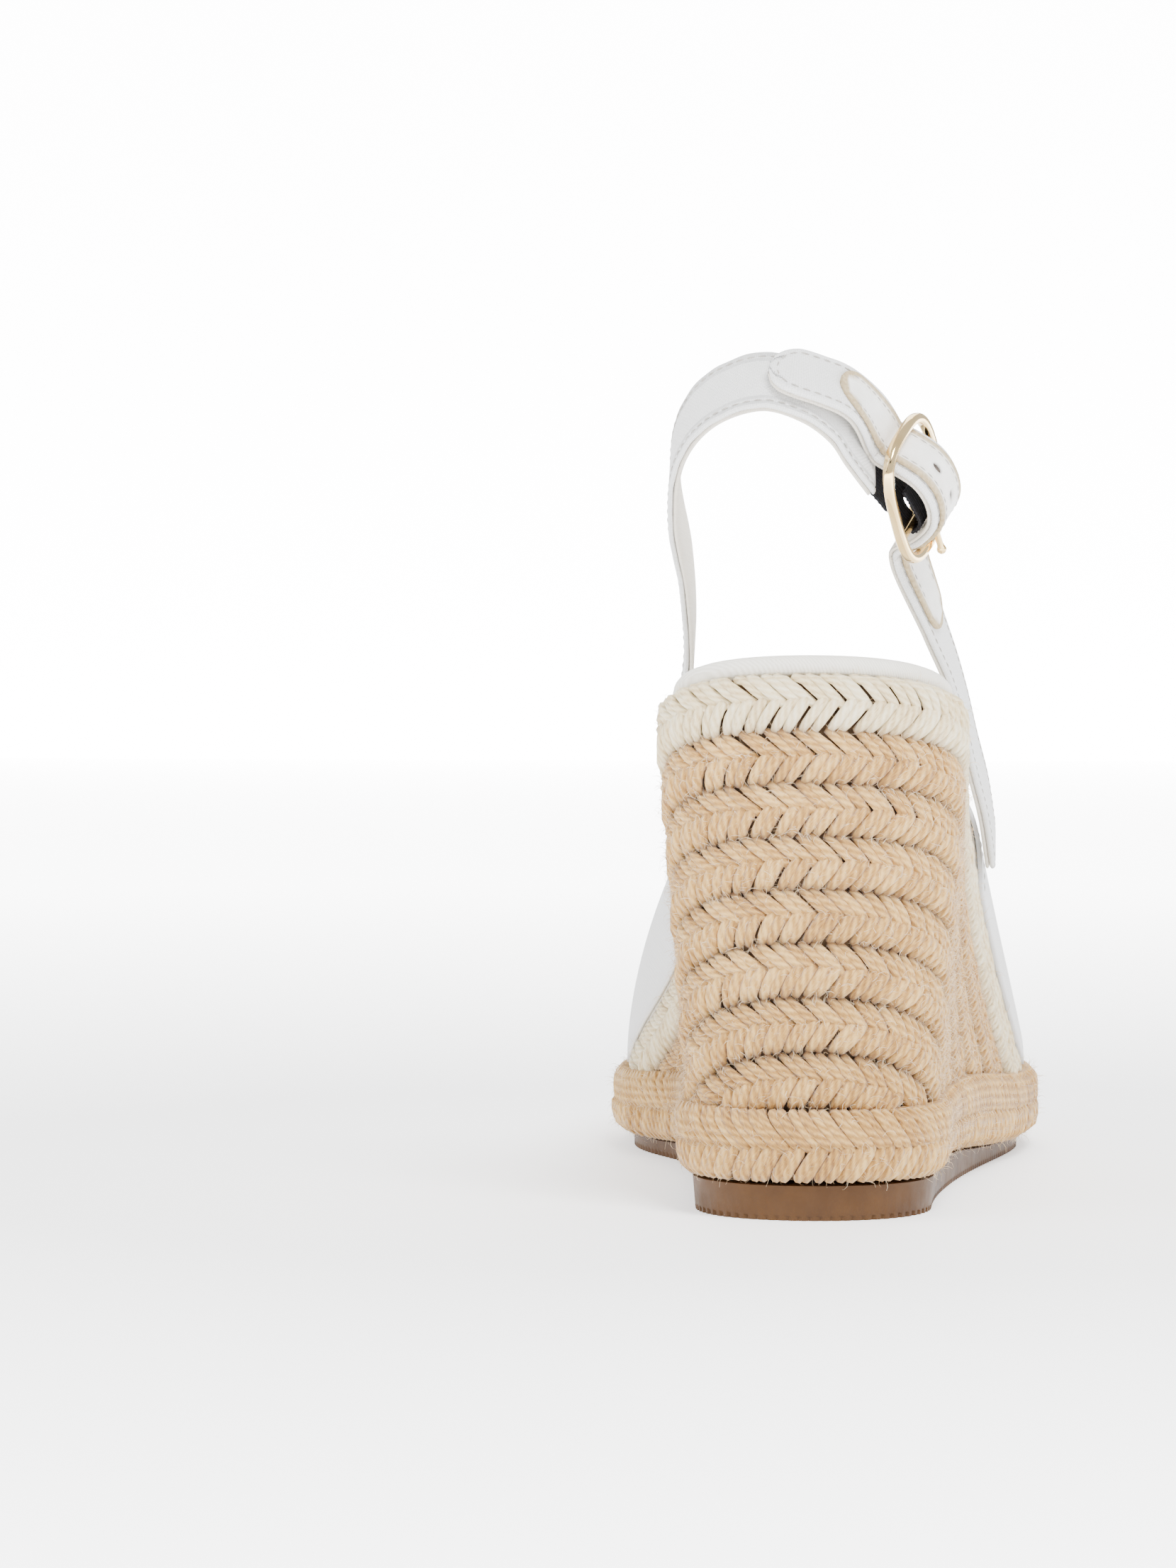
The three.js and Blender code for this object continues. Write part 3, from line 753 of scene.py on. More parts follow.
def foxing_row(name, seed):
    """The wide rope edge of the sole: long yarns rolled over its top, shorter ones tucked in underneath."""
    chance = random.Random(seed)
    upper = (
        (-6.4, 2.2, -0.58, 0.8, 0.9), (-4.2, 1.15, -0.54, 1.0, 0.1), (-2.2, 1.15, -0.5, 1.08, 0),
        (-1.15, 2.5, -0.36, 1.1, 0), (-0.9, 4.6, -0.12, 1.12, 0), (-0.95, 6.9, 0.2, 1.1, 0),
        (-1.7, 8.9, 0.5, 0.9, 0.35),
    )
    lower = (
        (-4.5, 0.9, -0.6, 0.8, 0.9), (-2.5, 1.0, -0.5, 1.15, 0.3), (-1.25, 2.2, -0.3, 1.28, 0),
        (-0.95, 4.2, 0, 1.3, 0), (-0.95, 6.2, 0.3, 1.25, 0), (-1.8, 7.9, 0.5, 0.95, 0.4),
    )
    from_top = lambda y, down: foxing_top(y) - down
    from_rubber = lambda y, up: rubber_top(y) + 0.4 + up
    lines = foxing_half(chance, upper, FOXING_UPPER_PITCH, 7, 0.16, from_top)
    lines += foxing_half(chance, lower, FOXING_LOWER_PITCH, 4.6, 0.12, from_rubber)
    return yarns(name, lines, JUTE)


BACKING_STEP = 3.0


def rope_backing():
    """The rope's inner side, a dark sheet that paints the shade seen between the yarns."""
    made = Shader("rope_shadow", Roughness=1.0)
    depth = made.noise(made.object_place(), 500, 3)
    # Painted shade: dark browns for the shade between the yarns.
    made.feed("Base Color", made.ramp(depth, (0.3, (0.1, 0.055, 0.025)), (0.7, (0.22, 0.135, 0.07))))
    pieces = []
    rings = []
    for mark in np.arange(0, WALL.length, BACKING_STEP):
        behind = WALL.at(mark)[1]
        if top_edge(behind) - foxing_top(behind) <= 3:
            continue
        ring = []
        for outwards, high in ((-3.1, True), (-3.1, False), (-5.3, False), (-5.3, True)):
            x, y = WALL.at(mark, outwards)
            ring.append(flared(x, y, top_edge(y) - 1.7 if high else foxing_top(y) - 1.6))
        rings.append(ring)
    pieces.append(swept("wedge_rope_backing", rings, made.material))
    rings = []
    for mark in np.arange(0, EDGE.length, BACKING_STEP):
        ring = []
        for outwards, share in ((-2.7, 0.86), (-2.7, 0.1), (-7.6, 0.1), (-7.6, 0.86)):
            x, y = EDGE.at(mark, outwards)
            ring.append(flared(x, y, lerp(rubber_top(y), foxing_top(y), share)))
        rings.append(ring)
    pieces.append(swept("foxing_rope_backing", rings, made.material, loop=True))
    return pieces


def fuzz_tree():
    """Loose fibres that stand off the yarns."""
    nodes = Nodes("loose_fibres")
    density = nodes.input("Fibres per square metre", "Float")
    hair = nodes.input("Fibre", "Object")
    seed = nodes.input("Seed", "Int")
    finish = nodes.input("Finish", "Material")
    settings = {"Mesh": nodes.start.outputs[0], "Density": density, "Seed": seed}
    scattered = nodes.node("GeometryNodeDistributePointsOnFaces", {}, settings).node
    vector = {"data_type": "FLOAT_VECTOR"}
    limits = {"Min": (-1.1, -1.1, 0), "Max": (1.1, 1.1, 6.28), "Seed": seed}
    tilt = nodes.node("FunctionNodeRandomValue", vector, limits)
    size = nodes.node("FunctionNodeRandomValue", {"data_type": "FLOAT"}, {2: 0.5, 3: 1.6, "Seed": seed}, 1)
    upright = scattered.outputs["Rotation"]
    turn = nodes.node("FunctionNodeRotateRotation", {}, {"Rotation": upright, "Rotate By": tilt})
    shape = nodes.node("GeometryNodeObjectInfo", {}, {"Object": hair}, "Geometry")
    settings = {"Points": scattered.outputs["Points"], "Instance": shape, "Rotation": turn, "Scale": size}
    nodes.finish(nodes.node("GeometryNodeInstanceOnPoints", {}, settings), finish)
    return nodes


FUZZ = fuzz_tree()


def one_fibre():
    """A short curled fibre with three sides, rooted at its origin."""
    points, faces = [], []
    for i in range(4):
        t = i / 3
        bend = (1.1 * t * t, 0.5 * math.sin(2.6 * t), 2.1 * t - 0.5 * t * t)
        for k in range(3):
            turn = 2 * math.pi * k / 3
            thick = 0.045 * (1 - 0.6 * t)
            around = (bend[0] + thick * math.cos(turn), bend[1] + thick * math.sin(turn), bend[2])
            points.append([value / 1000 for value in around])
    faces = grid_faces(4, 3, loop_columns=True) + [(2, 1, 0), (9, 10, 11)]
    mesh = bpy.data.meshes.new("fibre")
    mesh.from_pydata(points, [], faces)
    return new_object("fibre", mesh)


FIRST_SEED = 40


def loose_fibres(sources):
    fibre = one_fibre()
    made = Shader("loose_jute_fibre", Roughness=0.7, Sheen_Weight=0.3)
    tone = made.noise(made.object_place(), 700, 1)
    made.feed("Base Color", made.ramp(tone, (0.3, (0.5, 0.34, 0.18)), (0.7, (0.83, 0.68, 0.48))))
    grown = []
    for number, (source, density) in enumerate(sources):
        values = {"Fibres_per_square_metre": density, "Fibre": fibre, "Seed": FIRST_SEED + number}
        values["Finish"] = made.material
        grown.append(FUZZ.grown(source.name + "_fuzz", source, **values))
    bpy.data.objects.remove(fibre)
    return grown


# ---- camera, floor and light ---------------------------------------------------------------------
def stage():
    """Seen from behind at a distance, a little above the insole, on a white floor in soft light."""
    camera_data = bpy.data.cameras.new("camera")
    camera = new_object("camera", camera_data)
    camera_data.sensor_fit = "HORIZONTAL"
    camera_data.sensor_width = 36
    camera_data.lens = 182.3
    camera.location = placed((39.2, -1200.2, 135))
    camera.rotation_euler = (math.radians(90 - 2.2), 0, math.radians(4))
    camera_data.clip_end = 50
    bpy.context.scene.camera = camera

    floor_mesh = bpy.data.meshes.new("floor")
    floor_mesh.from_pydata([(-6, -6, 0), (6, -6, 0), (6, 6, 0), (-6, 6, 0)], [], [(0, 1, 2, 3)])
    floor = new_object("floor", floor_mesh)
    floor_mesh.materials.append(glowing_paper())
    backdrop_mesh = bpy.data.meshes.new("backdrop")
    backdrop_mesh.from_pydata([(-1, 2.6, 0), (1, 2.6, 0), (1, 2.6, 1), (-1, 2.6, 1)], [], [(0, 1, 2, 3)])
    white = (1, 1, 1, 1)
    glow = Shader("backdrop_glow", Base_Color=white, Emission_Color=white, Emission_Strength=9)
    backdrop_mesh.materials.append(glow.material)
    new_object("backdrop", backdrop_mesh)

    world = bpy.data.worlds.new("studio")
    bpy.context.scene.world = world
    world.use_nodes = True
    world.node_tree.nodes["Background"].inputs["Color"].default_value = (0.97, 0.985, 1, 1)
    world.node_tree.nodes["Background"].inputs["Strength"].default_value = 1.15
    dark_flag("side_flag", (-1.15, -1.1, 0.25), 0.3, 1.2)
    dark_flag("top_flag", (-0.5, -1.5, 0.9), 1.2, 0.28)
    softbox("key_softbox", (0.45, -0.9, 1.35), 0.6, 42)
    softbox("fill_softbox", (-1.1, -0.7, 0.8), 1.0, 12)
    softbox("rim_softbox", (0.1, 0.9, 1.3), 0.9, 12)


def glowing_paper():
    """White paper with a painted glow of its own, faint near the sandal and stronger away from it, so that it
    fades into the backdrop.
    """
    paper = Shader("white_paper", Base_Color=(0.96, 0.96, 0.96, 1), Roughness=0.9)
    paper.surface.inputs["Emission Color"].default_value = (1, 1, 1, 1)
    x, y, _ = paper.parts(paper.object_place())
    distance = (x * x + y * y) ** 0.5
    # Painted glow: the paper emits light, weak near the sandal and rising further out.
    paper.feed("Emission Strength", ((distance - 0.2) * 1.1).limited() * 6 + 0.9)
    return paper.material


def dark_flag(name, corner, width, height):
    """A black card outside the picture, which the polished metal mirrors."""
    x, y, z = corner
    mesh = bpy.data.meshes.new(name)
    right, top = x + width, z + height
    mesh.from_pydata([(x, y, z), (right, y, z), (right, y, top), (x, y, top)], [], [(0, 1, 2, 3)])
    mesh.materials.append(Shader(name, Base_Color=(0.01, 0.01, 0.01, 1), Roughness=1.0).material)
    new_object(name, mesh)


def softbox(name, place, size, power):
    light = bpy.data.lights.new(name, "AREA")
    light.size = size
    light.energy = power
    lamp = new_object(name, light)
    lamp.location = place
    lamp.rotation_euler = (Vector((0, 0, 0.08)) - Vector(place)).to_track_quat("-Z", "Y").to_euler()


stage()


# ---- cushion, outsole and vamp -------------------------------------------------------------------
def between(name, front, back, material=None):
    """A closed body between two grids of points, given as lists of rows."""
    rows, columns = len(front), len(front[0])
    points = [p for grid in (front, back) for row in grid for p in row]
    behind = rows * columns
    faces = grid_faces(rows, columns)
    faces += [face[::-1] for face in grid_faces(rows, columns, first=behind)]
    at = lambda i, j: i * columns + j
    for j in range(columns - 1):
        for i in (0, rows - 1):
            faces.append((at(i, j), at(i, j + 1), at(i, j + 1) + behind, at(i, j) + behind))
    for i in range(rows - 1):
        for j in (0, columns - 1):
            faces.append((at(i, j), at(i + 1, j), at(i + 1, j) + behind, at(i, j) + behind))
    return mesh_object(name, points, faces, material)


def outwards(made):
    """Turns the faces of a closed mesh outwards without joining any of its points."""
    work = bmesh.new()
    work.from_mesh(made.data)
    bmesh.ops.recalc_face_normals(work, faces=work.faces)
    work.to_mesh(made.data)
    work.free()
    return made


def spine_of(loop):
    """For each point of an outline, the point of the sole's middle line that it shrinks towards."""
    left, right = side_x(MEDIAL, 0), side_x(LATERAL, 0)
    spine = []
    for _, y in loop:
        level = clamp(y, 27, 205)
        spine.append(((left(level) + right(level)) / 2, level))
    return np.array(spine)


def level_ring(loop, share, height, base):
    """An outline drawn in towards the sole's middle line, at a height above its base."""
    spine = spine_of(loop)
    return [flared(x, y, base(y) + height) for x, y in spine + (loop - spine) * share]


def stacked(name, rings, material):
    """A skin through level rings of one outline: each is (inset, share of the way out, height, base)."""
    made_rings = [level_ring(plan_loop(inset, 2.0)[:-1], *ring) for inset, *ring in rings]
    count = min(len(ring) for ring in made_rings)
    made_rings = [evenly_many(ring, count) for ring in made_rings]
    points = [p for ring in made_rings for p in ring]
    made = mesh_object(name, points, grid_faces(len(made_rings), count, loop_columns=True), material)
    set_uv(made, [(p[1], p[0] + p[2] * 0.6) for p in points])
    return faced_outwards(made)


def evenly_many(ring, count):
    """A closed ring again with a set number of points."""
    closed = np.array([*ring, ring[0]])
    run = np.concatenate([[0], np.cumsum(np.linalg.norm(np.diff(closed, axis=0), axis=1))])
    marks = np.linspace(0, run[-1], count, endpoint=False)
    return np.stack([np.interp(marks, run, closed[:, i]) for i in range(3)], axis=1)


def insole_cushion():
    """The padded insole: a rounded rim in cream twill over foam, a little crowned in the middle."""
    low, high, round_off = 0.3, INSOLE_HEIGHT, 1.9
    rings = [(INSOLE_INSET + 0.5, share, low, top_edge) for share in (0, 0.5, 1)]
    rings += [(INSOLE_INSET + 0.05, 1, low + 0.7, top_edge), (INSOLE_INSET - 0.15, 1, low + 2, top_edge)]
    rim = high - round_off
    for turn in (0, 25, 50, 75):
        angle = math.radians(turn)
        inset = INSOLE_INSET + round_off * (1 - math.cos(angle))
        rings.append((inset, 1, rim + round_off * math.sin(angle), top_edge))
    for share in (1, 0.85, 0.6, 0.3, 0):
        rings.append((INSOLE_INSET + 3.2, share, high + 0.35 * (1 - share), top_edge))
    return stacked("insole_cushion", rings, COVER)


SOLE_POINTS = 690


def sole_inset(inset):
    """The rubber's outline, which stands back further from the rope at the ball than at the heel."""
    loops = [plan_loop(distance, 1)[:-1] for distance in (inset, inset + 2.1)]
    heel, ball = (evenly_many([(*p, 0) for p in loop], SOLE_POINTS)[:, :2] for loop in loops)
    share = np.array([smooth(60, 140, y) for _, y in heel])[:, None]
    return heel * (1 - share) + ball * share


def outsole():
    """Gum rubber with a sharp lower edge cut into small teeth."""
    wall, tooth = sole_inset(2.5), sole_inset(2.95)
    teeth = np.where((np.arange(len(wall)) % 3 == 0)[:, None], tooth, wall)
    inner = sole_inset(3.5)
    under = 0.7
    rings = [(inner, share, under, toe_lift) for share in (0, 0.4, 0.8, 0.985)]
    rings += [(teeth, 1, 0.0, toe_lift), (teeth, 1, 0.9, toe_lift), (wall, 1, 1.25, toe_lift)]
    rings += [(wall, 1, -height, rubber_top) for height in (1.6, 0.25)]
    rings += [(inner, share, 0, rubber_top) for share in (0.99, 0.6, 0)]
    made_rings = [level_ring(*ring) for ring in rings]
    points = [p for ring in made_rings for p in ring]
    faces = grid_faces(len(made_rings), len(wall), loop_columns=True)
    made = faced_outwards(mesh_object("gum_outsole", points, faces, GUM))
    made.data.set_sharp_from_angle(angle=math.radians(38))
    return made


def tread_tree():
    """Copies one lug to every point, turned by the point's own 'turn'."""
    nodes = Nodes("tread_lugs")
    lug, size = nodes.input("Lug", "Object"), nodes.input("Size", "Float")
    finish = nodes.input("Finish", "Material")
    shape = nodes.node("GeometryNodeObjectInfo", {}, {"Object": lug}, "Geometry")
    turn = nodes.node("ShaderNodeCombineXYZ", {}, {"Z": nodes.named("turn")})
    settings = {"Points": nodes.start.outputs[0], "Instance": shape, "Rotation": turn, "Scale": size}
    nodes.finish(nodes.node("GeometryNodeInstanceOnPoints", {}, settings), finish)
    return nodes


def lug_mesh():
    """A small chevron-shaped rubber lug with sloping walls, one unit tall."""
    outline = [(-3.1, -1.3), (0, 0.5), (3.1, -1.3), (3.1, 0.1), (0, 1.9), (-3.1, 0.1)]
    points = [(x / 1000, y / 1000, 0.72 / 1000) for x, y in outline]
    points += [(x * 0.9 / 1000, (y * 0.8 + 0.03) / 1000, 0) for x, y in outline]
    faces = [(i, (i + 1) % 6, 6 + (i + 1) % 6, 6 + i) for i in range(6)]
    faces += [(0, 5, 2, 1), (5, 4, 3, 2), (6, 7, 8, 11), (11, 8, 9, 10)]
    mesh = bpy.data.meshes.new("lug")
    mesh.from_pydata(points, [], faces)
    return outwards(new_object("lug", mesh))


def tread():
    """Rows of chevron lugs under the rubber."""
    left, right = side_x(MEDIAL, 9.5), side_x(LATERAL, 9.5)
    places = []
    for row, y in enumerate(np.arange(12, 232, 5.2)):
        middle = (left(y) + right(y)) / 2
        reach = (right(y) - left(y)) / 2
        for step in range(-6, 7):
            x = middle + (step + 0.5 * (row % 2)) * 7.4
            if abs(x - middle) < reach - 0.5:
                places.append((x, y, toe_lift(y)))
    mesh = bpy.data.meshes.new("lug_places")
    mesh.from_pydata([placed(p) for p in places], [], [])
    source, lug = new_object("lug_places", mesh), lug_mesh()
    set_value(source, "turn", [0.0] * len(places))
    made = tread_tree().grown("tread_lugs", source, Lug=lug, Size=1.0, Finish=GUM)
    for helper in (source, lug):
        bpy.data.objects.remove(helper)
    return made


VAMP_INSET, THROAT, THROAT_SIDE, TOE, TOE_SIDE = 2.9, 118, 92, 208, 226
vamp_left, vamp_right = side_x(MEDIAL, VAMP_INSET), side_x(LATERAL, VAMP_INSET)


def vamp_face(u, v):
    """The vamp's outer face: u runs over the foot from medial to lateral, v from throat to toe."""
    middle = max(0, math.sin(math.pi * u)) ** 1.4
    y = lerp(lerp(THROAT_SIDE, THROAT, middle), lerp(TOE_SIDE, TOE, middle), v)
    base = top_edge(y) + 0.3
    left, right = flared(vamp_left(y), y, base)[0], flared(vamp_right(y), y, base)[0]
    angle = math.pi * (1 - u)
    cosine, sine = math.cos(angle), max(0, math.sin(angle))
    reach = math.copysign(abs(cosine) ** (0.5 if u < 0.5 else 0.85), cosine)
    height = lerp(50, 24, smooth(98, 226, y))
    x = (left + right) / 2 + reach * (right - left) / 2 - 3 * sine**3
    return np.array([x, y, base + height * sine**0.95])


def vamp_grid(depth, hem=0.0):
    """The vamp's face moved inwards by depth, and by hem more at its two open edges."""
    grid, columns, rows, nearby = [], 72, 44, 0.01
    for i in range(columns + 1):
        u, line = i / columns, []
        for j in range(rows + 1):
            v = j / rows
            across = vamp_face(min(1, u + nearby), v) - vamp_face(max(0, u - nearby), v)
            along = vamp_face(u, min(1, v + nearby)) - vamp_face(u, max(0, v - nearby))
            normal = np.cross(across, along)
            normal /= np.linalg.norm(normal)
            if normal[2] < 0:
                normal = -normal
            if i in (0, columns):
                normal = np.array([normal[0], normal[1], 0]) / math.hypot(normal[0], normal[1])
            open_edge = max(0, 1 - min(j, rows - j) / 1.5)
            line.append(vamp_face(u, v) - normal * (depth + hem * open_edge))
        grid.append(line)
    return grid


def surface_uv(grid):
    """Millimetres across and along a grid, for a pattern that follows it."""
    points = np.array(grid)
    across = np.linalg.norm(np.diff(points, axis=0), axis=2)
    along = np.linalg.norm(np.diff(points, axis=1), axis=2)
    rows, columns = points.shape[:2]
    mean_across = np.concatenate([[0], np.cumsum(across.mean(axis=1))])
    mean_along = np.concatenate([[0], np.cumsum(along.mean(axis=0))])
    return [(mean_across[i], mean_along[j]) for i in range(rows) for j in range(columns)]


def vamp_layer(name, outer, inner, material):
    made = between(name, outer, inner, material)
    set_uv(made, surface_uv(outer) + surface_uv(inner))
    return outwards(made)


def vamp_seams():
    """Sewing lines just inside the throat and the toe opening."""
    lines = []
    for v in (0.028, 0.972):
        lines.append([vamp_face(u, v) for u in np.linspace(0.02, 0.98, 140)])
    return lines


# ---- straps --------------------------------------------------------------------------------------
class Path:
    """A smooth line through stations of (x, y, z) and the direction across it there."""

    def __init__(self, stations):
        self.places = np.array([s[:3] for s in stations], float)
        self.sides = np.array([s[3:] for s in stations], float)
        marks = np.linspace(0, 1, 400)
        points = np.array([self._on(self.places, t) for t in marks])
        steps = np.linalg.norm(np.diff(points, axis=0), axis=1)
        self.run = (marks, np.concatenate([[0], np.cumsum(steps)]))

    @staticmethod
    def _on(points, t):
        """A centripetal Catmull-Rom spline."""
        last = len(points) - 1
        i = min(int(t * last), last - 1)
        w = t * last - i
        b, c = points[i], points[i + 1]
        a = points[i - 1] if i else 2 * b - c
        d = points[i + 2] if i + 2 <= last else 2 * c - b
        ab, bc, cd = (max(1e-4, np.linalg.norm(q - p)) ** 0.5 for p, q in ((a, b), (b, c), (c, d)))
        start = ((b - a) / ab - (c - a) / (ab + bc) + (c - b) / bc) * bc
        end = ((c - b) / bc - (d - b) / (bc + cd) + (d - c) / cd) * bc
        square, cube = -3 * b + 3 * c - 2 * start - end, 2 * b - 2 * c + start + end
        return b + start * w + square * w * w + cube * w**3

    def at(self, t):
        """The point, and the directions along, across and out of the strap."""
        along = self._on(self.places, min(1, t + 1e-4)) - self._on(self.places, max(0, t - 1e-4))
        along /= np.linalg.norm(along)
        across = self._on(self.sides, t)
        across = across - along * across.dot(along)
        across /= np.linalg.norm(across)
        return self._on(self.places, t), along, across, np.cross(along, across)

    def off(self, t, across=0.0, out=0.0):
        point, _, side, up = self.at(t)
        return point + side * across + up * out

    def length_at(self, t):
        return float(np.interp(t, *self.run))

    def place_at(self, length):
        return float(np.interp(length, self.run[1], self.run[0]))

    def marks(self, start, end, spacing):
        a, b = self.length_at(start), self.length_at(end)
        return np.interp(np.linspace(a, b, max(3, round((b - a) / spacing))), self.run[1], self.run[0])


FLAT = (0, 0.72, 0.69)
SLING = Path([
    (-34.2, 98, 74.5, *FLAT), (-32.6, 86, 87.5, *FLAT), (-30.2, 72, 102, *FLAT), (-28.2, 59, 117, *FLAT),
    (-28.4, 46, 132, *FLAT), (-30.2, 33, 147, *FLAT), (-27.6, 19.5, 160, *FLAT), (-19.6, 9.5, 168, *FLAT),
    (-9, 5, 170.8, *FLAT), (-0.5, 5.6, 168.2, 0.03, 0.74, 0.67), (5.8, 9.8, 163.6, 0.08, 0.78, 0.62),
    (9.2, 14.8, 158.6, 0.1, 0.82, 0.56), (12.7, 20.7, 153.9, 0.12, 0.84, 0.52),
])


# The buckle's own frame: across the strap, along it upwards, and outwards.
def unit(vector):
    return np.array(vector, float) / np.linalg.norm(vector)


AT = np.array([20.9, 27, 148.8])
ALONG = unit((-0.2, -0.55, 0.81))
TOWARDS_TOE = np.array([0.33, 0.72, 0.58])
ACROSS = unit(TOWARDS_TOE - ALONG * TOWARDS_TOE.dot(ALONG))
OUT = np.cross(ACROSS, ALONG)
BAR_AT = -5
PRONG_SLOT = {"at": -7.9, "width": 3.4, "length": 6.8}  # cut through the strap for the prong


def in_buckle(across, along, out):
    return AT + ACROSS * across + ALONG * along + OUT * out


def threaded(along, out):
    return (*in_buckle(0, along, out), *-ACROSS)


def on_sling(t, out, up):
    """A station of the buckle strap's free end, lying on the sling."""
    return (*SLING.off(t, up, out), *-SLING.at(t)[2])


BACK = tuple(-value for value in FLAT)
BUCKLE_STRAP = Path([
    (35.2, 97, 72, *BACK), (33.6, 86, 83, *BACK), (31.2, 76, 93, *BACK), (29.1, 66.5, 102.5, *BACK),
    (26.3, 56, 112.5, *BACK), (22.8, 46.5, 122, -0.1, -0.76, -0.64),
    threaded(-14.8, -6.8), threaded(-11.4, -6), threaded(-8, 0.2), threaded(-4.2, 3.9), threaded(0.4, 4.6),
    threaded(4.6, 3), threaded(7.6, -0.4), threaded(10.6, -4.7), threaded(13.8, -5.8),
    on_sling(0.82, 2, 3), on_sling(0.77, 1.3, 2), on_sling(0.72, 1.1, 1), on_sling(0.67, 1.1, 0.5),
])

# Where the strap parts into its lower piece and its free end, and the stretch where that end lifts.
PARTED_AT, LIFTS_FROM, LIFTS_BY = 0.361, 0.885, 0.915
SEAM_INSET, SEAM_DEPTH = 1.75, -0.02


def folded_profile(half, low, high):
    """A cloth strap's section: edges folded round, and a sewn groove just inside each edge."""
    thick, groove = high - low, 0.16
    face = [(0, 0.02), (0.3, 0.03), (0.62, 0.02)]
    right = [(x * half, high + rise) for x, rise in face]
    right += [(half - 2.25, high), (half - SEAM_INSET, high - groove), (half - 1.3, high + 0.02)]
    right += [(half - 0.7, high - 0.02), (half - 0.22, high - 0.22 * thick), (half, low + thick * 0.5)]
    right += [(half - 0.2, low + 0.22 * thick)]
    right += [(half - 0.7, low), (half * 0.5, low), (0, low)]
    left = [(-x, y) for x, y in right[1:-1]]
    return right + left[::-1]


def narrowing(left, radius):
    """The half width's share at this distance from a rounded end."""
    return math.sqrt(max(0.012, 1 - (1 - left / radius) ** 2)) if left < radius else 1.0


UNDERSIDE = 40  # how far the pattern is shifted on a strap's under face


def closed_strip(name, rings, uv, material):
    """A capped skin through a strap's sections, with its pattern's places."""
    around = len(rings[0])
    points = [p for ring in rings for p in ring]
    faces = grid_faces(len(rings), around, loop_columns=True)
    faces += [tuple(range(around)), tuple(range(len(points) - around, len(points)))]
    made = mesh_object(name, points, faces, material)
    set_uv(made, uv)
    return outwards(made)


def strap(
    name, path, profile, start, end, material, spacing=1.1, round_end=0, round_start=0, ripple=0, seed=0
):
    """A strap swept along a path. The profile is a function of the half width's share of its full size."""
    rings, uv = [], []
    chance = random.Random(seed)
    phases = [chance.uniform(0, 6.28) for _ in range(3)]
    first, last = path.length_at(start), path.length_at(end)
    for t in path.marks(start, end, spacing):
        run = path.length_at(t)
        narrow = 1.0
        if round_end:
            narrow = min(narrow, narrowing(last - run, round_end))
        if round_start:
            narrow = min(narrow, narrowing(run - first, round_start))
        wave = ripple * (math.sin(run * 0.37 + phases[0]) + 0.6 * math.sin(run * 0.83 + phases[1]))
        ring = profile(narrow)
        edge = max(abs(a) for a, _ in ring)
        rings.append([path.off(t, a + wave * 0.5, o + wave * 0.5 * (a / edge) ** 2) for a, o in ring])
        uv += [(run, a + (0 if o > 0 else UNDERSIDE)) for a, o in ring]
    return closed_strip(name, rings, uv, material)


def cloth_profile(width, low, high):
    return lambda narrow: folded_profile(width / 2 * narrow, low, high)


def stitch_tree():
    """Short threads laid end to end along lines."""
    nodes = Nodes("stitches")
    spacing, thread_object = nodes.input("Spacing", "Float"), nodes.input("Thread", "Object")
    finish = nodes.input("Finish", "Material")
    line = nodes.node("GeometryNodeMeshToCurve", {}, {"Mesh": nodes.start.outputs[0]})
    sockets = {"Curve": line, "Length": spacing}
    points = nodes.node("GeometryNodeCurveToPoints", {"mode": "LENGTH"}, sockets).node
    tangent = points.outputs["Tangent"]
    turn = nodes.node("FunctionNodeAlignRotationToVector", {"axis": "X"}, {"Vector": tangent})
    shape = nodes.node("GeometryNodeObjectInfo", {}, {"Object": thread_object}, "Geometry")
    settings = {"Points": points.outputs["Points"], "Instance": shape, "Rotation": turn}
    nodes.finish(nodes.node("GeometryNodeInstanceOnPoints", {}, settings), finish)
    return nodes


STITCH = stitch_tree()


def one_stitch():
    """A plump thread along x, sunk at both ends."""
    length, thick = 1.7, 0.2
    points = []
    for i in range(7):
        q = i / 6
        swell = math.sin(math.pi * lerp(0.06, 0.94, q))
        for k in range(6):
            turn = 2 * math.pi * k / 6
            points.append((
                (q - 0.5) * length / 1000,
                thick * swell * math.cos(turn) / 1000,
                thick * swell * math.sin(turn) / 1000,
            ))
    faces = grid_faces(7, 6, loop_columns=True) + [(5, 4, 3, 2, 1, 0), (36, 37, 38, 39, 40, 41)]
    mesh = bpy.data.meshes.new("stitch")
    mesh.from_pydata(points, [], faces)
    mesh.polygons.foreach_set("use_smooth", [True] * len(mesh.polygons))
    return outwards(new_object("stitch", mesh))


def stitched(made, lines, spacing=2.5):
    """Sews lines of thread onto a piece and joins them to it."""
    points, edges = [], []
    for line in lines:
        first = len(points)
        points += [placed(p) for p in line]
        edges += [(i, i + 1) for i in range(first, len(points) - 1)]
    mesh = bpy.data.meshes.new("seam")
    mesh.from_pydata(points, edges, [])
    seam, stitch = new_object("seam", mesh), one_stitch()
    threads = STITCH.grown(made.name + "_thread", seam, Spacing=spacing / 1000, Thread=stitch, Finish=THREAD_PAINTED_SHADE)
    for helper in (seam, stitch):
        bpy.data.objects.remove(helper)
    with bpy.context.temp_override(active_object=made, selected_editable_objects=[made, threads]):
        bpy.ops.object.join()
    return made


def strap_seams(path, width, high, start, end, inset=SEAM_INSET):
    lines = []
    for side in (-1, 1):
        across = side * (width / 2 - inset)
        lines.append([path.off(t, across, high + SEAM_DEPTH) for t in path.marks(start, end, 1.0)])
    return lines


BRIM = 1.15  # the leather patch's raw border
PATCH_TOP = 3.15
PATCH_FROM, PATCH_TO, PATCH_STEP = 0.27, 0.86, 0.55


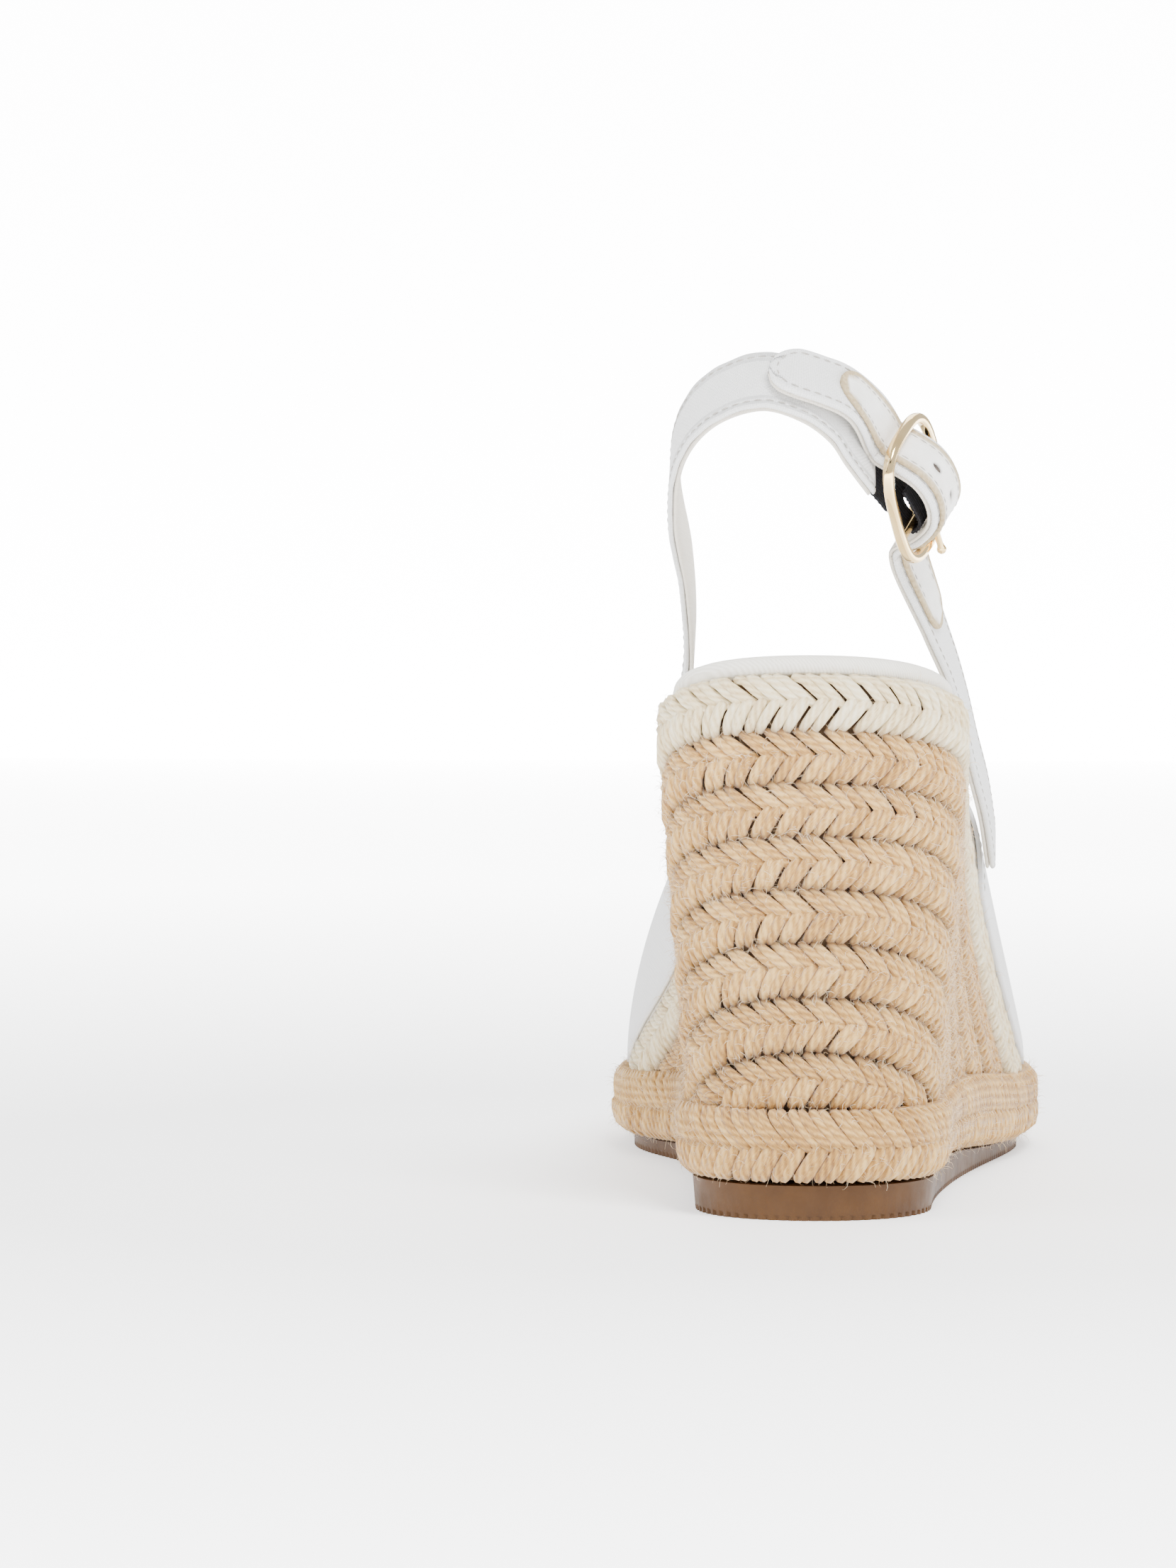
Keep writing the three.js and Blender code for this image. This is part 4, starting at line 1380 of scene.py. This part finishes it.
def leather_patch():
    """White leather down the middle of the buckle strap, with a raw border, rounded at both ends."""
    half, low, high = PATCH_WIDTH / 2, 2.3, PATCH_TOP
    start, end = PATCH_FROM, PATCH_TO

    def profile(narrow):
        reach = half * narrow
        places = [-reach + 0.16, *(x * narrow for x in (-half + BRIM, -half + BRIM + 0.15, -2, 0, 2))]
        places += [x * narrow for x in (half - BRIM - 0.15, half - BRIM)] + [reach - 0.16]
        top = [(x, high) for x in places]
        bottom = [(x, low) for x in places[::-1]]
        right, left = [(reach, high - 0.16), (reach, low + 0.1)], [(-reach, low + 0.1), (-reach, high - 0.16)]
        return top + right + bottom + left

    made = strap("leather_patch_white", BUCKLE_STRAP, profile, start, end, LEATHER, PATCH_STEP, half, half)
    first, last = BUCKLE_STRAP.length_at(start), BUCKLE_STRAP.length_at(end)
    raw = []
    for t in BUCKLE_STRAP.marks(start, end, PATCH_STEP):
        run = BUCKLE_STRAP.length_at(t)
        to_end = min(run - first, last - run)
        narrow = narrowing(to_end, half)
        for a, o in profile(narrow):
            past = max(0, half - to_end)
            inside = half - math.hypot(a, past)
            raw.append(1.0 if o < high - 0.01 else smooth(BRIM + 0.25, BRIM - 0.1, inside))
    set_value(made, "raw", raw)
    return made


def cut_out(made, cutter):
    """Takes a cutter's shape out of a piece."""
    modifier = made.modifiers.new("cut", "BOOLEAN")
    modifier.operation, modifier.solver, modifier.object = "DIFFERENCE", "EXACT", cutter
    graph = bpy.context.evaluated_depsgraph_get()
    mesh = bpy.data.meshes.new_from_object(made.evaluated_get(graph))
    made.modifiers.remove(modifier)
    made.data = mesh
    bpy.data.objects.remove(cutter)
    return made


def oval_cutter(frame, half_across, half_along, low, high):
    """An oval pin square to a strap; frame is its point and its directions across, along and out."""
    point, across, along, out = frame
    rings = []
    for height in (low, high):
        ring = []
        for i in range(20):
            turn = 2 * math.pi * i / 20
            sideways, lengthways = half_across * math.cos(turn), half_along * math.sin(turn)
            ring.append(point + across * sideways + along * lengthways + out * height)
        rings.append(ring)
    return swept("cutter", rings)


def prong_slot():
    middle = in_buckle(0, PRONG_SLOT["at"], 0)
    half_width, half_length = PRONG_SLOT["width"] / 2, PRONG_SLOT["length"] / 2
    return oval_cutter((middle, ACROSS, ALONG, OUT), half_width, half_length, -3, 6)


def end_seam(path, width, high):
    """The seam round a strap's rounded end."""
    radius, centre = width / 2 - SEAM_INSET, path.length_at(1) - width / 2
    line = []
    for i in range(25):
        turn = math.pi * (i / 24 - 0.5)
        place = path.place_at(centre + radius * math.cos(turn))
        line.append(path.off(place, radius * math.sin(turn), high + SEAM_DEPTH))
    return line


def strap_frame(path, t):
    point, along, across, out = path.at(t)
    return point, across, along, out


# ---- elastic and buckle --------------------------------------------------------------------------
def looped(along, out):
    return (*in_buckle(0, along, out), *ACROSS)


ELASTIC_PATH = Path([
    (*SLING.off(1, 0, -1.05), *ACROSS), (14.6, 23.6, 150.6, *ACROSS), looped(0, -4.2), looped(BAR_AT, -2),
    looped(BAR_AT - 2, 0), looped(BAR_AT, 2), looped(BAR_AT + 4, 1.4), looped(BAR_AT + 8, 0.2),
])


def ribbed_profile(half, thick, rib):
    """A knitted band's section: cords running along it and a round bead at each edge."""
    columns = 26
    places = [lerp(-half + 0.5, half - 0.5, i / columns) for i in range(columns + 1)]
    top = [(x, thick * (0.34 + 0.12 * math.cos(2 * math.pi * x / 1.7))) for x in places]
    round_by = thick * (0.3 + 0.2 * rib)
    bead = [(half - 0.15, round_by), (half + 0.15 * rib, 0), (half - 0.15, -round_by)]
    bottom = [(x, -y) for x, y in top[::-1]]
    return top + bead + bottom + [(-x, -y) for x, y in bead]


def elastic_band(name, from_across, to_across, start, end):
    """One width of the elastic, between two distances across it; its ribs run across the band."""
    half, middle = (to_across - from_across) / 2, (to_across + from_across) / 2
    rings, uv = [], []
    for t in ELASTIC_PATH.marks(start, end, 0.21):
        run = ELASTIC_PATH.length_at(t)
        rib = math.sin(math.pi * run / 0.85) ** 2
        ring = ribbed_profile(half, 0.98, rib)
        rings.append([ELASTIC_PATH.off(t, a + middle, o * (0.8 + 0.2 * rib)) for a, o in ring])
        uv += [(a, run) for a, _ in ring]
    return closed_strip(name, rings, uv, ELASTIC)


def tube(name, pointed, radii, material, sides=24, loop=False, flat=1.0, axis=None, power=2.0):
    """A rounded bar along points. Its section is a superellipse, flattened along the axis."""
    count = len(pointed)
    rings = []
    for i, point in enumerate(pointed):
        before = pointed[(i - 1) % count] if loop else pointed[max(0, i - 1)]
        after = pointed[(i + 1) % count] if loop else pointed[min(count - 1, i + 1)]
        tangent = unit(after - before)
        up = unit(axis - tangent * axis.dot(tangent))
        away = np.cross(tangent, up)
        radius = radii[i] if hasattr(radii, "__len__") else radii
        ring = []
        for k in range(sides):
            turn = 2 * math.pi * k / sides
            bend = lambda value: math.copysign(abs(value) ** (2 / power), value)
            sideways, upwards = bend(math.cos(turn)), bend(math.sin(turn))
            ring.append(point + away * radius * sideways + up * radius * flat * upwards)
        rings.append(ring)
    made = swept(name, rings, material, loop=loop)
    made.data.set_sharp_from_angle(angle=math.radians(50))
    return made


def joined_into(first, *others):
    with bpy.context.temp_override(active_object=first, selected_editable_objects=[first, *others]):
        bpy.ops.object.join()
    return first


def buckle():
    """A polished frame with softly flattened faces, and the bar that holds the elastic."""
    wire, across, along = 1.15, 12.6, 14.6
    outline = []
    for i in range(160):
        turn = 2 * math.pi * i / 160
        bend = lambda value: math.copysign(abs(value) ** (2 / 3.2), value)
        x, y = (across - wire) * bend(math.cos(turn)), (along - wire) * bend(math.sin(turn))
        outline.append(in_buckle(x, y, 0))
    rounded = evenly_many(outline, 200)
    section = {"loop": True, "flat": 0.98, "axis": OUT, "power": 2.9}
    frame_ring = tube("buckle_frame_gold", list(rounded), 1.13, GOLD, 28, **section)
    reach = across - wire
    ends = [in_buckle(lerp(-reach, reach, i / 12), BAR_AT, 0) for i in range(13)]
    bar = tube("buckle_bar_gold", ends, 0.9, GOLD, 16, axis=OUT)
    return joined_into(frame_ring, bar)


def prong():
    """An eye round the bar, and a straight arm that rests on the frame and ends in a small knob."""
    eye = []
    for i in range(25):
        turn = 2 * math.pi * i / 24
        eye.append(in_buckle(0, BAR_AT + 1.9 * math.cos(turn), 1.9 * math.sin(turn)))
    ring = tube("prong_gold", eye[:-1], 0.64, GOLD, 12, loop=True, axis=ACROSS)
    places, radii = [], []
    for i in range(25):
        t = i / 24
        hook = smooth(0.86, 1, t)
        places.append(in_buckle(0, lerp(BAR_AT, -15.35, t), lerp(1.9, 2.4, t) + 0.05 * hook))
        radii.append(0.78 - 0.08 * smooth(0.1, 0.8, t) + 0.25 * hook)
    arm = tube("prong_arm", places, radii, GOLD, 14, axis=OUT)
    middle = in_buckle(0, -15.35, 2.4)
    ball = bpy.data.meshes.new("knob")
    work = bmesh.new()
    bmesh.ops.create_uvsphere(work, u_segments=16, v_segments=10, radius=0.00105)
    work.to_mesh(ball)
    work.free()
    ball.materials.append(GOLD)
    ball.transform(Matrix.Translation(placed(middle)))
    ball.polygons.foreach_set("use_smooth", [True] * len(ball.polygons))
    return joined_into(ring, arm, new_object("knob", ball))


def elastic_loop():
    """The band that runs from the sling's end round the buckle's bar, open where the prong's eye sits."""
    band = elastic_band("ribbed_elastic_band", -6, 6, 0, 1)
    opening = oval_cutter((in_buckle(0, BAR_AT, 0), ACROSS, ALONG, OUT), 1.0, 2.8, -3.7, 3.7)
    return cut_out(band, opening)


HOLES_AT = (0.535, 0.6)


def punched_holes():
    """Dark discs at the bottoms of the holes punched in the leather: painted shadow inside the holes."""
    made = Shader("hole_shadow", Roughness=0.9)
    tone = made.noise(made.object_place(), 900, 2)
    made.feed("Base Color", made.ramp(tone, (0.3, (0.06, 0.045, 0.035)), (0.7, (0.13, 0.1, 0.08))))
    discs = []
    for number, place in enumerate(HOLES_AT):
        # Painted shadow: a dark disc sits in each hole.
        disc = oval_cutter(strap_frame(BUCKLE_STRAP, place), 1.0, 1.5, 2.22, 2.4)
        disc.name = f"patch_hole_{number + 1}"
        disc.data.materials.append(made.material)
        discs.append(disc)
    return discs


# ---- the pieces, attached to their bodies in place of the model's parts --------------------------
def keep(piece, body, slot, *nodes):
    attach(piece, body)
    if nodes:
        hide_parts(*nodes)


cream = wedge_row("cream_rope", 0, CREAM_WIDTH, CREAM, 3, curled=True)
keep(cream, "sole", "cream", "cream_braid")
rows = []
for row in range(JUTE_ROWS):
    near = CREAM_WIDTH + row * JUTE_WIDTH
    rows.append(wedge_row(f"jute_rope_{row + 1}", near, near + JUTE_WIDTH, JUTE, 11 + row))
    keep(rows[-1], "sole", "jute", f"jute_braid_{row + 1}")
foxing = foxing_row("foxing_rope", 5)
keep(foxing, "sole", "jute", "foxing_rope_lower", "foxing_rope_upper")
for backing in rope_backing():
    keep(backing, "sole", "jute")
for fuzz in loose_fibres([(foxing, 200000), (cream, 110000)] + [(row, 400000) for row in rows]):
    keep(fuzz, "sole", "jute")

inner_layers = {
    "wedge_core": fill_material("cork", (0.28, 0.16, 0.08), (0.5, 0.33, 0.18), 500),
    "insole_board": fill_material("pressed_board", (0.5, 0.4, 0.26), (0.62, 0.52, 0.37), 900),
    "insole_foam": fill_material("latex_foam", (0.7, 0.66, 0.56), (0.8, 0.77, 0.69), 1800),
}
for name, material in inner_layers.items():
    frame["nodes"][name].data.materials.clear()
    frame["nodes"][name].data.materials.append(material)

cushion = insole_cushion()
keep(cushion, "sole", "cover", "insole_cover")
keep(outsole(), "sole", "gum", "outsole")
keep(tread(), "sole", "gum")

vamp = vamp_layer("vamp_linen", vamp_grid(0), vamp_grid(1.0), WHITE_LINEN)
stitched(vamp, vamp_seams())
keep(vamp, "sole", "linen", "vamp")
lining = vamp_layer("vamp_lining_cloth", vamp_grid(1.15, hem=0.1), vamp_grid(2.1), OFF_WHITE)
keep(lining, "sole", "lining", "vamp_lining")

HINGE_MEDIAL = (placed((-33.9, 95.5, 77)), placed((-32.3, 84, 89.5)))
HINGE_LATERAL = (placed((34.7, 94, 75)), placed((33, 83, 86)))
sling_face, sling_inside = cloth_profile(SLING_WIDTH, -1.05, 0), cloth_profile(SLING_WIDTH - 0.3, -2.1, -1.12)
sling = strap("sling_cloth", SLING, sling_face, 0, 1, STRAP_LINEN, ripple=0.12, seed=2)
stitched(sling, strap_seams(SLING, SLING_WIDTH, 0, 0.01, 0.985))
sling_lining = strap("sling_lining_cloth", SLING, sling_inside, 0, 1, OFF_WHITE)
for piece, slot, node in ((sling, "linen", "sling_strap"), (sling_lining, "lining", "sling_lining")):
    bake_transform(piece)
    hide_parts(node)

lifting = [placed(BUCKLE_STRAP.off(t, 0, 1.5)) for t in (LIFTS_FROM, LIFTS_BY)]
for layer, low, high, width, material, slot in (
    ("cloth", 0.95, 2.2, STRAP_WIDTH, STRAP_LINEN, "linen"),
    ("lining", 0.0, 0.88, STRAP_WIDTH - 0.3, OFF_WHITE, "lining"),
):
    profile = cloth_profile(width, low, high)
    lower = strap(f"buckle_strap_{layer}", BUCKLE_STRAP, profile, 0, PARTED_AT, material)
    upper = strap(f"strap_end_{layer}", BUCKLE_STRAP, profile, PARTED_AT, 1, material, 0.9, width / 2)
    cut_out(upper, prong_slot())
    if layer == "cloth":
        turn_from = BUCKLE_STRAP.place_at(BUCKLE_STRAP.length_at(1) - width / 2)
        seams = strap_seams(BUCKLE_STRAP, width, high, PARTED_AT, turn_from)
        stitched(lower, strap_seams(BUCKLE_STRAP, width, high, 0.01, PARTED_AT))
        stitched(upper, [*seams, end_seam(BUCKLE_STRAP, width, high)])
    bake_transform(lower)
    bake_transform(upper)
    names = ("buckle_strap", "strap_tip") if layer == "cloth" else ("buckle_strap_lining", "strap_tip_lining")
    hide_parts(names[0])
    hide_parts(names[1])

patch = leather_patch()
cut_out(patch, prong_slot())
for place in HOLES_AT:
    cut_out(patch, oval_cutter(strap_frame(BUCKLE_STRAP, place), 0.9, 1.4, 1, 5))
patch_seams = []
for ends in ((0.3, 0.37), (0.46, 0.83)):
    patch_seams += strap_seams(BUCKLE_STRAP, PATCH_WIDTH, PATCH_TOP, *ends, inset=1.7)
stitched(patch, patch_seams, spacing=2.1)
keep(patch, "sling", "leather", "leather_patch")
for hole in punched_holes():
    keep(hole, "sling", "leather")

keep(elastic_loop(), "sling", "elastic", "elastic")
keep(buckle(), "buckle", "gold", "buckle_frame")
keep(prong(), "tongue", "gold", "prong")
